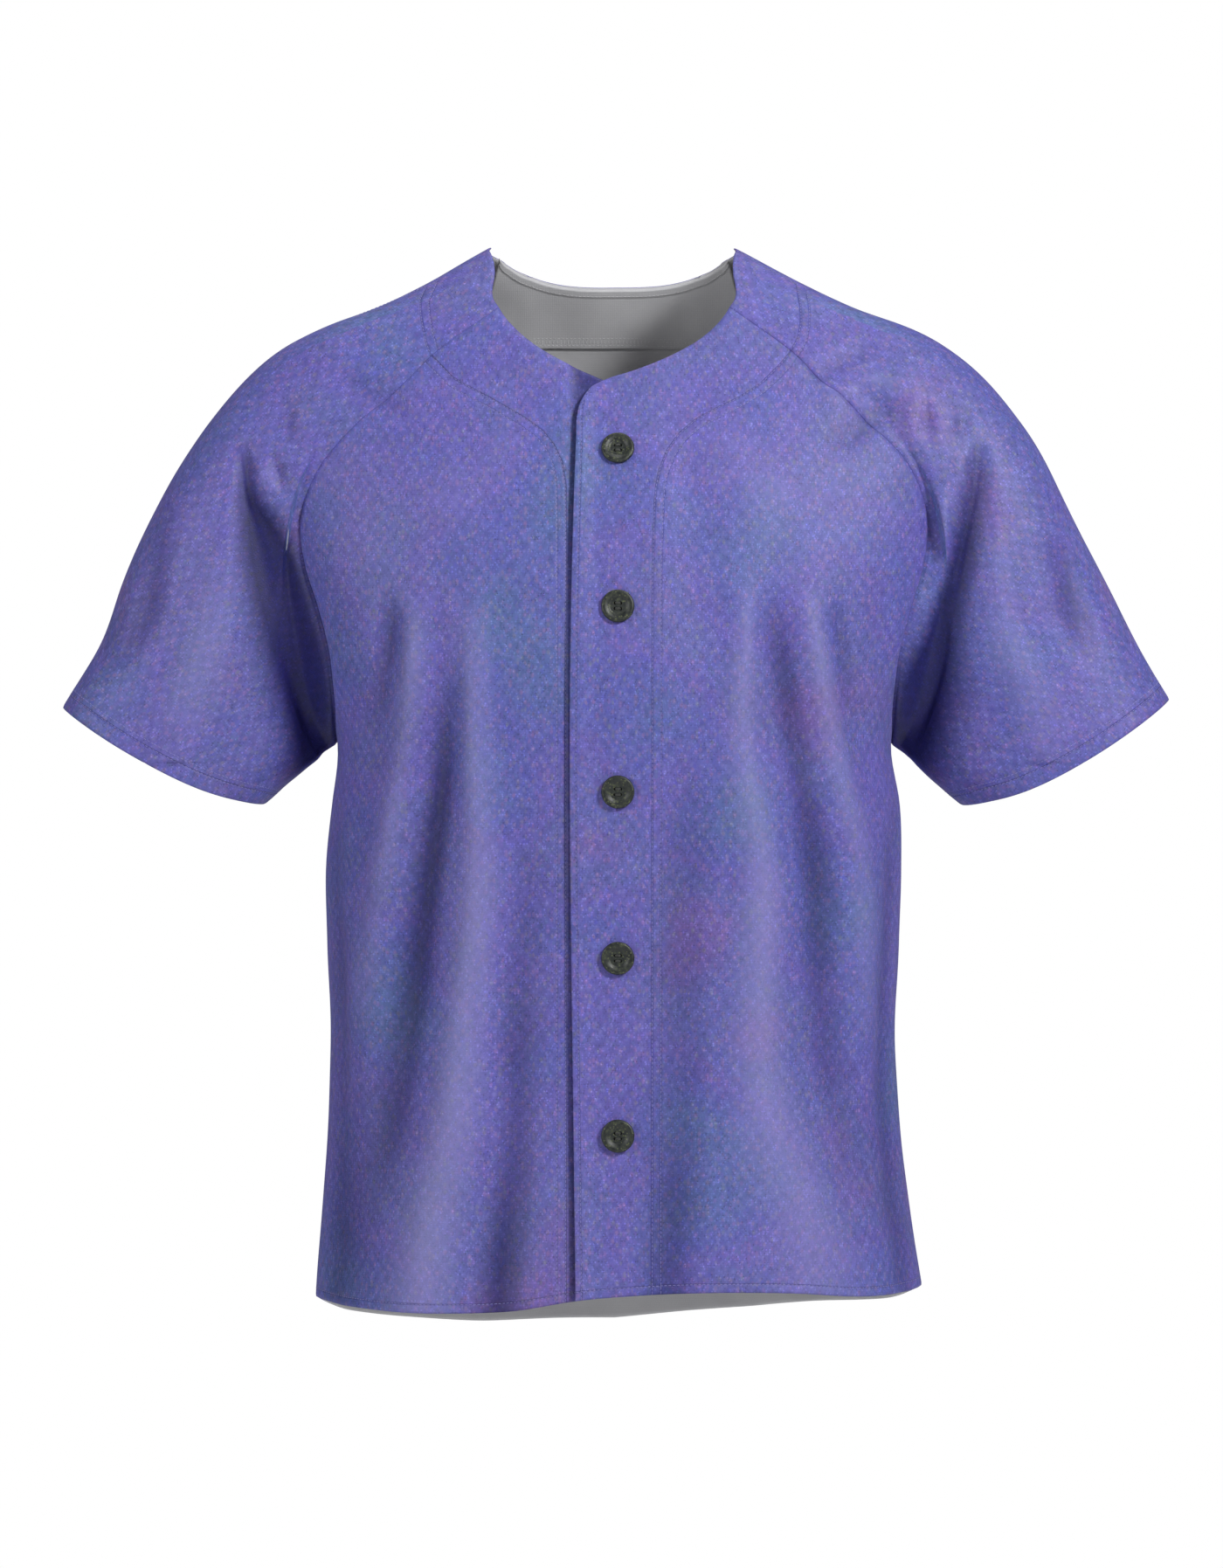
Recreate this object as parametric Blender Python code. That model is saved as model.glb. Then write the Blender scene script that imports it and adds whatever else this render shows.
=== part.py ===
"""A button-front baseball jersey with raglan sleeves and a collarless neck, filled out as if worn.

Lengths are in millimetres here and become metres when the meshes are made. +Z is up, the front faces -Y and the
wearer's left is +X. The origin is midway between the two points where the neck meets the shoulder line, and
NECK_HEIGHT below them. Heights in the tables are counted from those points. Angles go round the body: 0 at the
centre front, 90 at the wearer's left side, 180 at the centre back.
"""

import math

import bpy
import numpy as np
from mathutils import Vector
from mathutils.geometry import delaunay_2d_cdt

MM = 0.001

NECK_HEIGHT = 10.0  # the neck points stand this far above the origin

# Cloth and making
CLOTH = 1.6  # wall of a panel
FACING_CLOTH = 1.2  # wall of the neck facing
SEAM_GAP = 0.3  # room between two pieces where they are sewn
MIDDLE_Y = 5.0  # the section's middle lies a little behind the origin

# How finely each piece is divided
ROWS_BELOW_ARM = 12
ROWS_ABOVE_ARM = 13
FRONT_COLUMNS = 20
BACK_COLUMNS = 32
NECK_ROWS_FRONT = 5  # on the sleeve's neck edge, in front of the shoulder line
NECK_ROWS_BACK = 4
EDGE_MIDDLE = -366.0  # the height on a front's free edge that belongs with the underarm point
SLEEVE_ROWS = 12

# Front opening
PLACKET_HALF_WIDTH = 26.0
OVERLAP_LIFT = 2.0  # how far the upper front is raised over the lower one
EDGE_LIFT = 2.4  # and how much further along its free edge
LIFT_FADE = 34.0  # from the placket to where the upper front lies on the body again
EDGE_FADE = 16.0
UNDER_DIP = 1.8  # the lower front sinks this far below the overlap

# Buttons
BUTTON_HEIGHTS = (-146.0, -254.0, -380.0, -493.5, -615.0)
BUTTON_X = 2.5
BUTTON_STAND_OFF = 0.4  # from the cloth to the button's back
BUTTON_SIDES = 20
HOLE_SIDES = 6
HOLE_RADIUS = 0.95
HOLE_SPACING = 1.9  # from the middle to each hole, both across and up


# Neck facing, inside the back of the neck
FACING_TOP_X = 74.0
FACING_LOW_X = 92.0
FACING_LOW_HEIGHT = -65.0
FACING_ROWS = 4
FACING_COLUMNS = 24
FACING_EASE = 0.9  # further in past the raglan seams


def table(names, rows):
    """A table with named columns, as one array for each name."""
    return dict(zip(names.split(), np.array(rows, float).T))


# The button's outline from its back edge round the rim to the floor of the well
BUTTON_PROFILE = table(
    "radius height",
    [(10.2, 0), (11.3, 0.9), (11.3, 2.3), (10.6, 3.2), (9.3, 3.4), (6.8, 2.7), (6.0, 2.0)],
)


# The body from the hem up, as if it had no sleeves: above the arm it follows the slope of the shoulder.
BODY = table(
    "height left right front back squareness",
    [
        (-790, 226, 211, 126, 119, 2.3),
        (-736, 215.5, 207, 124, 116, 2.3),
        (-681, 207.5, 203, 121, 111, 2.3),
        (-620, 199.5, 199.5, 119, 106, 2.3),
        (-560, 195, 197, 118, 102, 2.35),
        (-486, 197.5, 199.5, 120, 102, 2.35),
        (-437, 199.5, 200.5, 122, 104, 2.4),
        (-389, 199.5, 197, 125, 107, 2.4),
        (-346, 193, 193, 127, 110, 2.4),
        (-292, 210, 210, 128, 115, 2.4),
        (-252, 222, 222, 124, 118, 2.4),
        (-226, 230, 230, 120, 118, 2.4),
        (-180, 238, 238, 109, 117, 2.35),
        (-132, 240, 240, 90, 107, 2.3),
        (-100, 235, 235, 75, 96, 2.25),
        (-71, 220, 220, 63, 83, 2.2),
        (-44, 168, 168, 50, 68, 2.2),
        (-20, 115, 115, 33, 54, 2.2),
        (0, 84, 86, 15, 45, 2.2),
        (12, 66, 66, 5, 40, 2.2),
    ],
)

# Height of the hem round the body: level in front, dropped behind, and a little wavy.
HEM = table(
    "angle height",
    [
        (-180, -756), (-150, -757), (-120, -747), (-90, -733), (-60, -735), (-32, -737), (-20, -735), (-6, -727),
        (4, -724), (31, -723), (48, -727), (70, -726), (90, -725), (120, -738), (150, -745.5), (165, -751), (180, -756),
    ],
)

# The raglan seams, from the neck down to the underarm point, on the wearer's left.
FRONT_RAGLAN = table(
    "x height",
    [
        (80, -44), (104, -61), (126, -78), (147, -99), (184, -132), (203, -154), (215, -180), (218, -198),
        (214, -226), (206, -252), (197, -292), (194, -324), (193, -346),
    ],
)
BACK_RAGLAN = table(
    "x height",
    [
        (60, -16), (82, -37), (105, -65), (135, -105), (165, -150), (187, -195), (198, -240), (199, -285),
        (196, -322), (193, -346),
    ],
)

# The neck edge. The front runs from the shoulder line to the raglan seam, and on to the opening; the upper front
# turns down into its free edge in front of the centre, and the lower front does so past it, out of sight.
NECK_SIDE = table("x height", [(84, 0), (84, -5), (83, -18), (80, -44)])
NECK_UPPER = table(
    "x height",
    [(80, -44), (70, -58), (54, -71), (34, -82), (14, -90), (-3, -95.5), (-14, -101), (-19, -106.5)],
)
EDGE_UPPER = table("x height", [(-19, -106.5), (-23, -114), (-25.4, -124), (-26, -138), (-26, -800)])
NECK_LOWER = table(
    "x height",
    [(80, -44), (68, -60), (38, -82), (10, -94.5), (-6, -102), (-16, -109), (-21, -116)],
)
EDGE_LOWER = table("x height", [(-21, -116), (-24.4, -125), (-26, -138), (-26, -150), (-26, -800)])
NECK_BACK = table(
    "x height",
    [(84, 0), (80, -5.5), (74, -9.5), (68, -13), (60, -16), (50, -19.5), (35, -22.5), (18, -23.8), (0, -24)],
)

# The sleeves past the raglan seams, as rings: each one's highest and lowest point seen from the front, how far it
# swells before and behind, how far its middle bows away from the body, how much more of that is in its lower half, and
# how much lower its front hangs.
RING_COLUMNS = "along top_x top_z low_x low_z front back bow lean skew"
LEFT_SLEEVE = table(
    RING_COLUMNS,
    [
        (0.19, 162, -40.5, 203, -353, 64, 76, 46, 0, 0),
        (0.36, 226, -65.5, 208, -357.5, 63, 75, 27, 0, 0),
        (0.56, 285, -124, 213, -363, 62, 72, 20, 0, 0),
        (0.71, 314, -177, 220, -370, 61, 69, 16, 0, 0),
        (0.86, 347, -240, 229, -378, 59, 64, 13, 0.1, 0),
        (0.93, 367, -280, 236, -384, 58, 62, 11, 0.2, 0.5),
        (1.0, 388.5, -315, 243, -389.5, 56, 60, 10.3, 0.4, 1),
    ],
)
RIGHT_SLEEVE = table(
    RING_COLUMNS,
    [
        (0.19, 160, -39.5, 203, -353, 64, 76, 46, 0, 0),
        (0.36, 231, -70, 207, -358, 63, 75, 27, 0, 0),
        (0.56, 279.5, -119, 214, -364, 62, 72, 20, 0, 0),
        (0.71, 313.5, -171, 221, -370, 61, 69, 16, 0, 0),
        (0.86, 344, -235, 231, -378, 59, 64, 13, 0.1, 0),
        (0.93, 360, -278, 238, -384, 58, 62, 10, 0.2, 0.5),
        (1.0, 385, -321, 244.5, -389, 56, 60, 8.5, 0.35, 1),
    ],
)
SLEEVE_SQUARENESS = 2.2

# Folds, each a soft trough (negative) or ridge from one point to another as seen from one side.
# "across" is x seen from the front or back, and y seen from a side.
FOLD_COLUMNS = "across_1 height_1 across_2 height_2 width_1 width_2 depth"
BODY_FRONT_FOLDS = table(
    FOLD_COLUMNS,
    [
        (-94, -250, -108, -800, 15, 22, 5.5),
        (-66, -270, -69, -800, 15, 17, -3.5),
        (-112, -280, -164, -620, 15, 18, -6.5),
        (-138, -245, -186, -580, 13, 16, 4.0),
        (-76, -620, -79, -800, 12, 13, -3.5),
        (-150, -620, -152, -800, 18, 20, 3.0),
        (87, -240, 108, -800, 15, 25, 5.5),
        (58, -350, 64, -800, 16, 18, -3.5),
        (112, -255, 146, -600, 14, 16, -6.0),
        (134, -265, 172, -570, 13, 15, 4.0),
        (38, -620, 40, -800, 12, 13, -2.5),
        (150, -600, 165, -800, 16, 20, 3.0),
        (-196, -84, -130, -128, 13, 14, -2.5),
        (196, -78, 142, -108, 14, 14, -3.0),
        (-60, -120, -120, -200, 24, 26, 2.0),
        (60, -120, 120, -200, 24, 26, 2.0),
    ],
)
BODY_BACK_FOLDS = table(
    FOLD_COLUMNS,
    [
        (-30, -300, -46, -800, 16, 24, 5.0),
        (-72, -260, -96, -800, 15, 18, -5.5),
        (-112, -230, -142, -800, 15, 18, 4.5),
        (-150, -250, -172, -600, 13, 14, -4.0),
        (6, -340, 2, -800, 16, 18, -4.0),
        (40, -290, 52, -800, 15, 22, 5.0),
        (80, -250, 100, -800, 15, 18, -5.5),
        (120, -240, 146, -800, 15, 18, 4.5),
        (154, -260, 176, -600, 13, 14, -4.0),
        (-120, -90, -60, -120, 14, 14, -2.5),
        (126, -96, 64, -124, 14, 14, -2.5),
    ],
)
BODY_SIDE_FOLDS = table(
    FOLD_COLUMNS,
    [
        (-34, -380, -44, -800, 14, 18, -4.0),
        (6, -400, 4, -800, 14, 16, 1.5),
        (40, -380, 50, -800, 14, 18, -4.0),
    ],
)
LEFT_SLEEVE_FOLDS = table(
    FOLD_COLUMNS,
    [
        (240, -190, 228, -340, 16, 17, -6.0),
        (284, -160, 296, -345, 16, 17, 4.0),
        (320, -205, 350, -318, 14, 15, -3.5),
    ],
)
RIGHT_SLEEVE_FOLDS = table(
    FOLD_COLUMNS,
    [
        (-248, -165, -228, -340, 16, 18, -8.0),
        (-282, -160, -302, -350, 15, 16, 4.5),
        (-318, -195, -342, -285, 14, 15, -4.0),
    ],
)
LEFT_SLEEVE_BACK_FOLDS = table(
    FOLD_COLUMNS,
    [
        (240, -170, 228, -345, 14, 17, -7.5),
        (288, -170, 306, -345, 16, 17, 4.0),
    ],
)
RIGHT_SLEEVE_BACK_FOLDS = table(
    FOLD_COLUMNS,
    [
        (-242, -165, -228, -345, 14, 17, -8.0),
        (-286, -170, -306, -345, 16, 17, 4.0),
    ],
)

PRINTED_CLOTH = (0.16, 0.14, 0.42, 1.0)
PLAIN_CLOTH = (0.62, 0.62, 0.62, 1.0)
BUTTON_COLOUR = (0.022, 0.028, 0.026, 1.0)


def smooth_step(low, high, value):
    """0 below low, 1 above high, and a soft rise between."""
    share = np.clip((value - low) / (high - low), 0, 1)
    return share * share * (3 - 2 * share)


def hermite(knots, values, slopes, at):
    """A smooth curve through values at increasing knots, with a given slope at each."""
    i = np.clip(np.searchsorted(knots, at) - 1, 0, len(knots) - 2)
    span = knots[i + 1] - knots[i]
    t = (at - knots[i]) / span
    extra = (1,) * (values.ndim - 1)
    t, span = t.reshape(t.shape + extra), span.reshape(span.shape + extra)
    start = (1 + 2 * t) * (1 - t) ** 2 * values[i] + t * (1 - t) ** 2 * span * slopes[i]
    end = t**2 * (3 - 2 * t) * values[i + 1] + t**2 * (t - 1) * span * slopes[i + 1]
    return start + end


def spline(knots, values, at):
    """A smooth curve through the values, read at any place between the knots."""
    if knots[0] > knots[-1]:
        knots, values = knots[::-1], values[::-1]
    return hermite(knots, values, np.gradient(values, knots, axis=0), np.clip(at, knots[0], knots[-1]))


def section(name, height):
    return spline(BODY["height"], BODY[name], height)


def half_width(side, height):
    return np.where(side > 0, section("left", height), section("right", height))


def body_point(angle, height):
    """The outer face of the body: a rounded section, squarer than an ellipse, at each height."""
    power = section("squareness", height)
    sine, cosine = np.sin(angle), np.cos(angle)
    size = (np.abs(sine) ** power + np.abs(cosine) ** power) ** (1 / power)
    depth = np.where(cosine > 0, section("front", height), section("back", height))
    x = half_width(sine, height) * sine / size
    y = MIDDLE_Y - depth * cosine / size
    return np.stack([x, y, height], -1)


def body_normal(angle, height):
    step = 1e-3
    across = body_point(angle + step, height) - body_point(angle - step, height)
    up = body_point(angle, height + 0.5) - body_point(angle, height - 0.5)
    return unit(np.cross(across, up))


def unit(vectors):
    return vectors / np.maximum(np.linalg.norm(vectors, axis=-1, keepdims=True), 1e-9)


def angle_of(x, height, behind=False):
    """The angle round the body at which it reaches x at that height."""
    power = section("squareness", height)
    sine = np.clip(x / half_width(x, height), -1, 1)
    cosine = (1 - np.abs(sine) ** power) ** (1 / power)
    return np.arctan2(sine, -cosine if behind else cosine)


def evenly(line, count):
    """count + 1 points spread evenly by length along a line of (angle, height) points on the body."""
    dense = np.linspace(0, len(line) - 1, 40 * len(line))
    line = spline(np.arange(len(line), dtype=float), line, dense)
    steps = np.linalg.norm(np.diff(body_point(line[:, 0], line[:, 1]), axis=0), axis=1)
    length = np.concatenate([[0], np.cumsum(steps)])
    wanted = np.linspace(0, length[-1], count + 1)
    return np.stack([np.interp(wanted, length, line[:, k]) for k in (0, 1)], -1)


def seam_line(points, behind=False):
    return np.stack([angle_of(points["x"], points["height"], behind), points["height"]], -1)


def hem_height(angle):
    return spline(HEM["angle"], HEM["height"], np.degrees(angle))


def side_seam(side):
    """From the hem to the underarm point. side is 1 at the wearer's left and -1 at the right."""
    angle = side * math.pi / 2
    heights = np.linspace(hem_height(np.array(angle)), FRONT_RAGLAN["height"][-1], ROWS_BELOW_ARM + 1)
    return np.stack([np.full_like(heights, angle), heights], -1)


def raglan_seam(behind):
    """From the underarm point up to the neck, on the wearer's left."""
    points = BACK_RAGLAN if behind else FRONT_RAGLAN
    return evenly(seam_line(points, behind)[::-1], ROWS_ABOVE_ARM)


def mirrored(line):
    return line * (-1, 1)


def coons(bottom, top, inner, outer):
    """A grid of (angle, height) that fills the room between four edges. Rows go up, columns go outwards."""
    up = np.linspace(0, 1, len(inner))[:, None, None]
    out = np.linspace(0, 1, len(bottom))[None, :, None]
    ruled = (1 - up) * bottom[None] + up * top[None] + (1 - out) * inner[:, None] + out * outer[:, None]
    corners = (1 - up) * ((1 - out) * bottom[0] + out * bottom[-1]) + up * ((1 - out) * top[0] + out * top[-1])
    return ruled - corners


def front_panel_grid(neck, edge, side):
    """The (angle, height) grid of a front, from its free edge past the centre to the side and raglan seams.

    side is 1 on the wearer's left and -1 on the right, where the grid is mirrored.
    """
    hem_angle = angle_of(np.array(-PLACKET_HALF_WIDTH), np.array(-724.0))
    hem_angles = np.linspace(hem_angle, math.pi / 2, FRONT_COLUMNS + 1)
    bottom = np.stack([hem_angles, hem_height(side * hem_angles)], -1)
    top = evenly(seam_line(neck)[::-1], FRONT_COLUMNS)
    outer = np.concatenate([side_seam(side) * (side, 1), raglan_seam(False)[1:]])
    heights = np.concatenate(
        [
            np.linspace(bottom[0, 1], EDGE_MIDDLE, ROWS_BELOW_ARM + 1),
            np.linspace(EDGE_MIDDLE, edge["height"][0], ROWS_ABOVE_ARM + 1)[1:],
        ]
    )
    inner = np.stack([angle_of(spline(edge["height"], edge["x"], heights), heights), heights], -1)
    inner[-1], outer[-1] = top[0], top[-1]
    return coons(bottom, top, inner, outer) * (side, 1)


def back_panel_grid():
    angles = np.linspace(math.pi / 2, 3 * math.pi / 2, BACK_COLUMNS + 1)
    wrapped = np.where(angles > math.pi, angles - 2 * math.pi, angles)
    bottom = np.stack([angles, hem_height(wrapped)], -1)
    left_seam = np.concatenate([side_seam(1), raglan_seam(True)[1:]])
    right_seam = np.concatenate([side_seam(-1), mirrored(raglan_seam(True))[1:]]) + (2 * math.pi, 0)
    neck = neck_back_line()
    top = evenly(neck, BACK_COLUMNS)
    left_seam[-1], right_seam[-1] = top[0], top[-1]
    return coons(bottom, top, left_seam, right_seam)


def neck_back_line():
    """The back neck edge from one raglan seam to the other."""
    start = seam_line(BACK_RAGLAN, True)[0]
    half = seam_line(NECK_BACK, True)
    half = np.concatenate([start[None], half[half[:, 0] > start[0] + 0.02]])
    return np.concatenate([half, (half[:-1] * (-1, 1))[::-1] + (2 * math.pi, 0)])


def fold_height(points, normals, folds, across, facing):
    """How far folds push the cloth out: bell-shaped across, fading at both ends, on the side that faces the viewer."""
    amount = np.zeros(points.shape[:-1])
    here = np.stack([points[..., across], points[..., 2]], -1)
    for row in range(len(folds["depth"])):
        start = np.array([folds["across_1"][row], folds["height_1"][row]])
        run = np.array([folds["across_2"][row], folds["height_2"][row]]) - start
        share = (here - start) @ run / (run @ run)
        near = start + np.clip(share, 0, 1)[..., None] * run
        off = np.linalg.norm(here - near, axis=-1)
        width = folds["width_1"][row] + np.clip(share, 0, 1) * (folds["width_2"][row] - folds["width_1"][row])
        ends = smooth_step(-0.12, 0.3, share) * smooth_step(-0.12, 0.3, 1 - share)
        amount += folds["depth"][row] * ends * np.exp(-((off / width) ** 2))
    return amount * smooth_step(0.0, 0.5, normals @ np.array(facing, float))


def body_folds(points, normals):
    return (
        fold_height(points, normals, BODY_FRONT_FOLDS, 0, (0, -1, 0))
        + fold_height(points, normals, BODY_BACK_FOLDS, 0, (0, 1, 0))
        + fold_height(points, normals, BODY_SIDE_FOLDS, 1, (1, 0, 0))
        + fold_height(points, normals, BODY_SIDE_FOLDS, 1, (-1, 0, 0))
    )


def sleeve_folds(points, normals, side):
    front, back = (
        (LEFT_SLEEVE_FOLDS, LEFT_SLEEVE_BACK_FOLDS) if side > 0 else (RIGHT_SLEEVE_FOLDS, RIGHT_SLEEVE_BACK_FOLDS)
    )
    return fold_height(points, normals, front, 0, (0, -1, 0)) + fold_height(points, normals, back, 0, (0, 1, 0))


def grid_normals(points, closed):
    """Outward normals of a grid of points; its columns join up where closed."""
    down = np.gradient(points, axis=0)
    if closed:
        along = (np.roll(points, -1, axis=1) - np.roll(points, 1, axis=1)) / 2
    else:
        along = np.gradient(points, axis=1)
    return unit(np.cross(along, down))


def open_seam(edge, normals, towards, closed=False):
    """Moves a sewn edge square to itself, towards its own piece, by half the seam gap."""
    along = np.roll(edge, -1, axis=0) - np.roll(edge, 1, axis=0) if closed else np.gradient(edge, axis=0)
    across = unit(np.cross(along, normals))
    across *= np.sign(np.sum(across * (towards - edge), axis=1, keepdims=True))
    return edge + across * SEAM_GAP / 2


def miter(first, second):
    """The direction from which two walls that meet at a seam both keep their thickness."""
    middle = unit(first + second)
    return middle / np.maximum(np.sum(middle * first, axis=-1, keepdims=True), 0.5)


def body_wall(grid, lift=None):
    """Outer points and wall directions of a panel on the body, with its folds."""
    angle, height = grid[..., 0], grid[..., 1]
    base, normal = body_point(angle, height), body_normal(angle, height)
    amount = body_folds(base, normal)
    if lift is not None:
        amount = amount + lift(base[..., 0])
    points = base + normal * amount[..., None]
    return points, normal


def split(a, b, c, d, across_ac):
    """Two triangles for each quad a b c d, divided from a to c where asked and from b to d elsewhere."""
    pick = across_ac[..., None]
    first = np.where(pick, np.stack([a, b, c], -1), np.stack([a, b, d], -1))
    second = np.where(pick, np.stack([a, c, d], -1), np.stack([b, c, d], -1))
    return np.concatenate([first.reshape(-1, 3), second.reshape(-1, 3)])


def shell(points, directions, thickness, closed):
    """Vertices and triangles of a closed wall: the outer grid, the same moved inwards, and strips round the edges.

    Both faces are divided alike, and so are two strips that face each other across a seam.
    """
    rows, columns = points.shape[:2]
    outer, inner = points.reshape(-1, 3), (points - directions * thickness).reshape(-1, 3)
    index = np.arange(rows * columns).reshape(rows, columns)
    if closed:
        index = np.concatenate([index, index[:, :1]], axis=1)
    a, b, c, d = index[:-1, :-1], index[:-1, 1:], index[1:, 1:], index[1:, :-1]
    short_ac = np.linalg.norm(outer[a] - outer[c], axis=-1) <= np.linalg.norm(outer[b] - outer[d], axis=-1)
    skin = split(a, b, c, d, short_ac)
    rims = [index[0][::-1], index[-1]]
    if not closed:
        rims += [index[:, 0], index[::-1, -1]]
    below = rows * columns
    strips = []
    for rim in rims:
        start, end = rim[:-1], rim[1:]
        strips.append(split(end, end + below, start + below, start, outer[end, 2] > outer[start, 2]))
    return np.concatenate([outer, inner]), np.concatenate([skin, skin[:, ::-1] + below, *strips])


def make_object(name, vertices, faces, colour, roughness):
    mesh = bpy.data.meshes.new(name)
    mesh.from_pydata(((vertices + (0, 0, NECK_HEIGHT)) * MM).tolist(), [], [list(face) for face in faces])
    mesh.update()
    mesh.shade_smooth()
    mesh.set_sharp_from_angle(angle=math.radians(60))
    material = bpy.data.materials.get(f"{name}_finish") or bpy.data.materials.new(f"{name}_finish")
    material.use_nodes = True
    shader = material.node_tree.nodes["Principled BSDF"]
    shader.inputs["Base Color"].default_value = colour
    shader.inputs["Roughness"].default_value = roughness
    mesh.materials.append(material)
    item = bpy.data.objects.new(name, mesh)
    bpy.context.scene.collection.objects.link(item)
    return item


def upper_lift(x):
    """The wearer's left front lies over the right one, and its free edge stands a little further off."""
    over = smooth_step(-(PLACKET_HALF_WIDTH + LIFT_FADE), -PLACKET_HALF_WIDTH, -x)
    edge = smooth_step(PLACKET_HALF_WIDTH - EDGE_FADE, PLACKET_HALF_WIDTH, -x)
    return OVERLAP_LIFT * over + EDGE_LIFT * edge


def lower_dip(x):
    """The wearer's right front sinks a little where the other one covers it."""
    return -UNDER_DIP * smooth_step(-PLACKET_HALF_WIDTH - 9, -PLACKET_HALF_WIDTH + 2, x)


def raglan_walls(side, behind):
    """Wall directions along a raglan seam, from the underarm point up."""
    directions = sleeve_base(side)[2]
    underarm = NECK_ROWS_FRONT + ROWS_ABOVE_ARM
    if behind:
        return directions[underarm : underarm + ROWS_ABOVE_ARM + 1]
    return directions[NECK_ROWS_FRONT : underarm + 1][::-1]


def build_front(name, side, neck, edge, lift):
    points, seam_normals = body_wall(front_panel_grid(neck, edge, side), lift)
    directions = grid_normals(points, False) * side
    directions[:, -1] = seam_normals[:, -1]
    directions[ROWS_BELOW_ARM:, -1] = raglan_walls(side, False)
    points[:, -1] = open_seam(points[:, -1], seam_normals[:, -1], points[:, -2])
    vertices, faces = shell(points, directions, CLOTH, False)
    return make_object(name, vertices, faces[:, ::side], PRINTED_CLOTH, 0.75)


def build_back():
    points, seam_normals = body_wall(back_panel_grid())
    directions = grid_normals(points, False)
    for side, column, inside in ((1, 0, 1), (-1, -1, -2)):
        directions[:, column] = seam_normals[:, column]
        directions[ROWS_BELOW_ARM:, column] = raglan_walls(side, True)
        points[:, column] = open_seam(points[:, column], seam_normals[:, column], points[:, inside])
    vertices, faces = shell(points, directions, CLOTH, False)
    return make_object("back_panel", vertices, faces, PRINTED_CLOTH, 0.75)


def build_neck_facing():
    """A strip inside the back of the neck, made from the back panel's surface moved inwards."""
    across, down = np.linspace(-1, 1, FACING_COLUMNS + 1)[None, :], np.linspace(1, 0, FACING_ROWS + 1)[:, None]
    top_x = -FACING_TOP_X * across
    rim = spline(NECK_BACK["x"], NECK_BACK["height"], np.abs(top_x)) - 0.8
    x = (1 - down) * top_x - down * FACING_LOW_X * across
    height = (1 - down) * rim + down * FACING_LOW_HEIGHT
    angle = angle_of(x, height, True)
    angle = np.where(angle < 0, angle + 2 * math.pi, angle)
    points, normals = body_wall(np.stack([angle, height], -1))
    inward = CLOTH + SEAM_GAP + FACING_EASE * smooth_step(45, 66, np.abs(x))
    points = points - normals * inward[..., None]
    vertices, faces = shell(points, grid_normals(points, False), FACING_CLOTH, False)
    return make_object("neck_facing", vertices, faces, PLAIN_CLOTH, 0.8)


def circle(centre, radius, sides):
    turn = np.linspace(0, 2 * math.pi, sides, endpoint=False)
    return np.stack([centre[0] + radius * np.cos(turn), centre[1] + radius * np.sin(turn)], -1)


def pierced_disc(rim, holes):
    """Triangles between a rim and the holes inside it; each is a loop of flat points, numbered in this order."""
    points = np.concatenate([rim, *holes])
    edges, start = [], 0
    for loop in (rim, *holes):
        edges += [(start + k, start + (k + 1) % len(loop)) for k in range(len(loop))]
        start += len(loop)
    faces = delaunay_2d_cdt([Vector(point) for point in points], edges, [], 0, 1e-6)[2]
    middles = np.array([points[list(face)].mean(axis=0) for face in faces])
    centres = np.array([hole.mean(axis=0) for hole in holes])
    outside = np.linalg.norm(middles[:, None] - centres, axis=-1).min(axis=1) > HOLE_RADIUS * 0.9
    return np.array([face for face, keep in zip(faces, outside) if keep])


def button_mesh():
    """A round button with a raised rim and four holes, lying flat with its back at height 0."""
    rings = [circle((0, 0), radius, BUTTON_SIDES) for radius in BUTTON_PROFILE["radius"]]
    centres = [(i * HOLE_SPACING, j * HOLE_SPACING) for i in (-1, 1) for j in (-1, 1)]
    holes = [circle(centre, HOLE_RADIUS, HOLE_SIDES) for centre in centres]
    floor = BUTTON_PROFILE["height"][-1]
    levels = [*BUTTON_PROFILE["height"], *([0.0] * len(holes)), *([floor] * len(holes))]
    loops = [*rings, *holes, *holes]
    vertices = np.concatenate([np.c_[loop, np.full(len(loop), level)] for loop, level in zip(loops, levels)])
    starts = np.cumsum([0] + [len(loop) for loop in loops])
    faces = []
    for k in range(len(rings) - 1):
        faces += band(starts[k], starts[k + 1], BUTTON_SIDES)
    for k in range(len(holes)):
        faces += band(starts[len(rings) + len(holes) + k], starts[len(rings) + k], HOLE_SIDES)
    low = np.concatenate([np.arange(BUTTON_SIDES), starts[len(rings)] + np.arange(len(holes) * HOLE_SIDES)])
    high = np.concatenate([low[:BUTTON_SIDES] + starts[len(rings) - 1], low[BUTTON_SIDES:] + len(holes) * HOLE_SIDES])
    back, front = pierced_disc(rings[0], holes), pierced_disc(rings[-1], holes)
    return vertices, faces + low[back[:, ::-1]].tolist() + high[front].tolist()


def band(low, high, sides):
    """Quads between two loops of the same number of points, the first one below."""
    return [(low + k, low + (k + 1) % sides, high + (k + 1) % sides, high + k) for k in range(sides)]


def build_button(number, height):
    """A button on the wearer's left front, tilted with the cloth under it."""
    spot = np.array(height)
    angle = angle_of(np.array(BUTTON_X), spot)
    outward = body_normal(angle, spot)
    right = unit(np.cross([0.0, 0.0, 1.0], outward))
    up = np.cross(outward, right)
    flat, faces = button_mesh()
    centre = body_point(angle, spot) + outward * (OVERLAP_LIFT + BUTTON_STAND_OFF)
    vertices = centre + flat @ np.stack([right, up, outward])
    return make_object(f"button_{number}", vertices, faces, BUTTON_COLOUR, 0.35)


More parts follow.
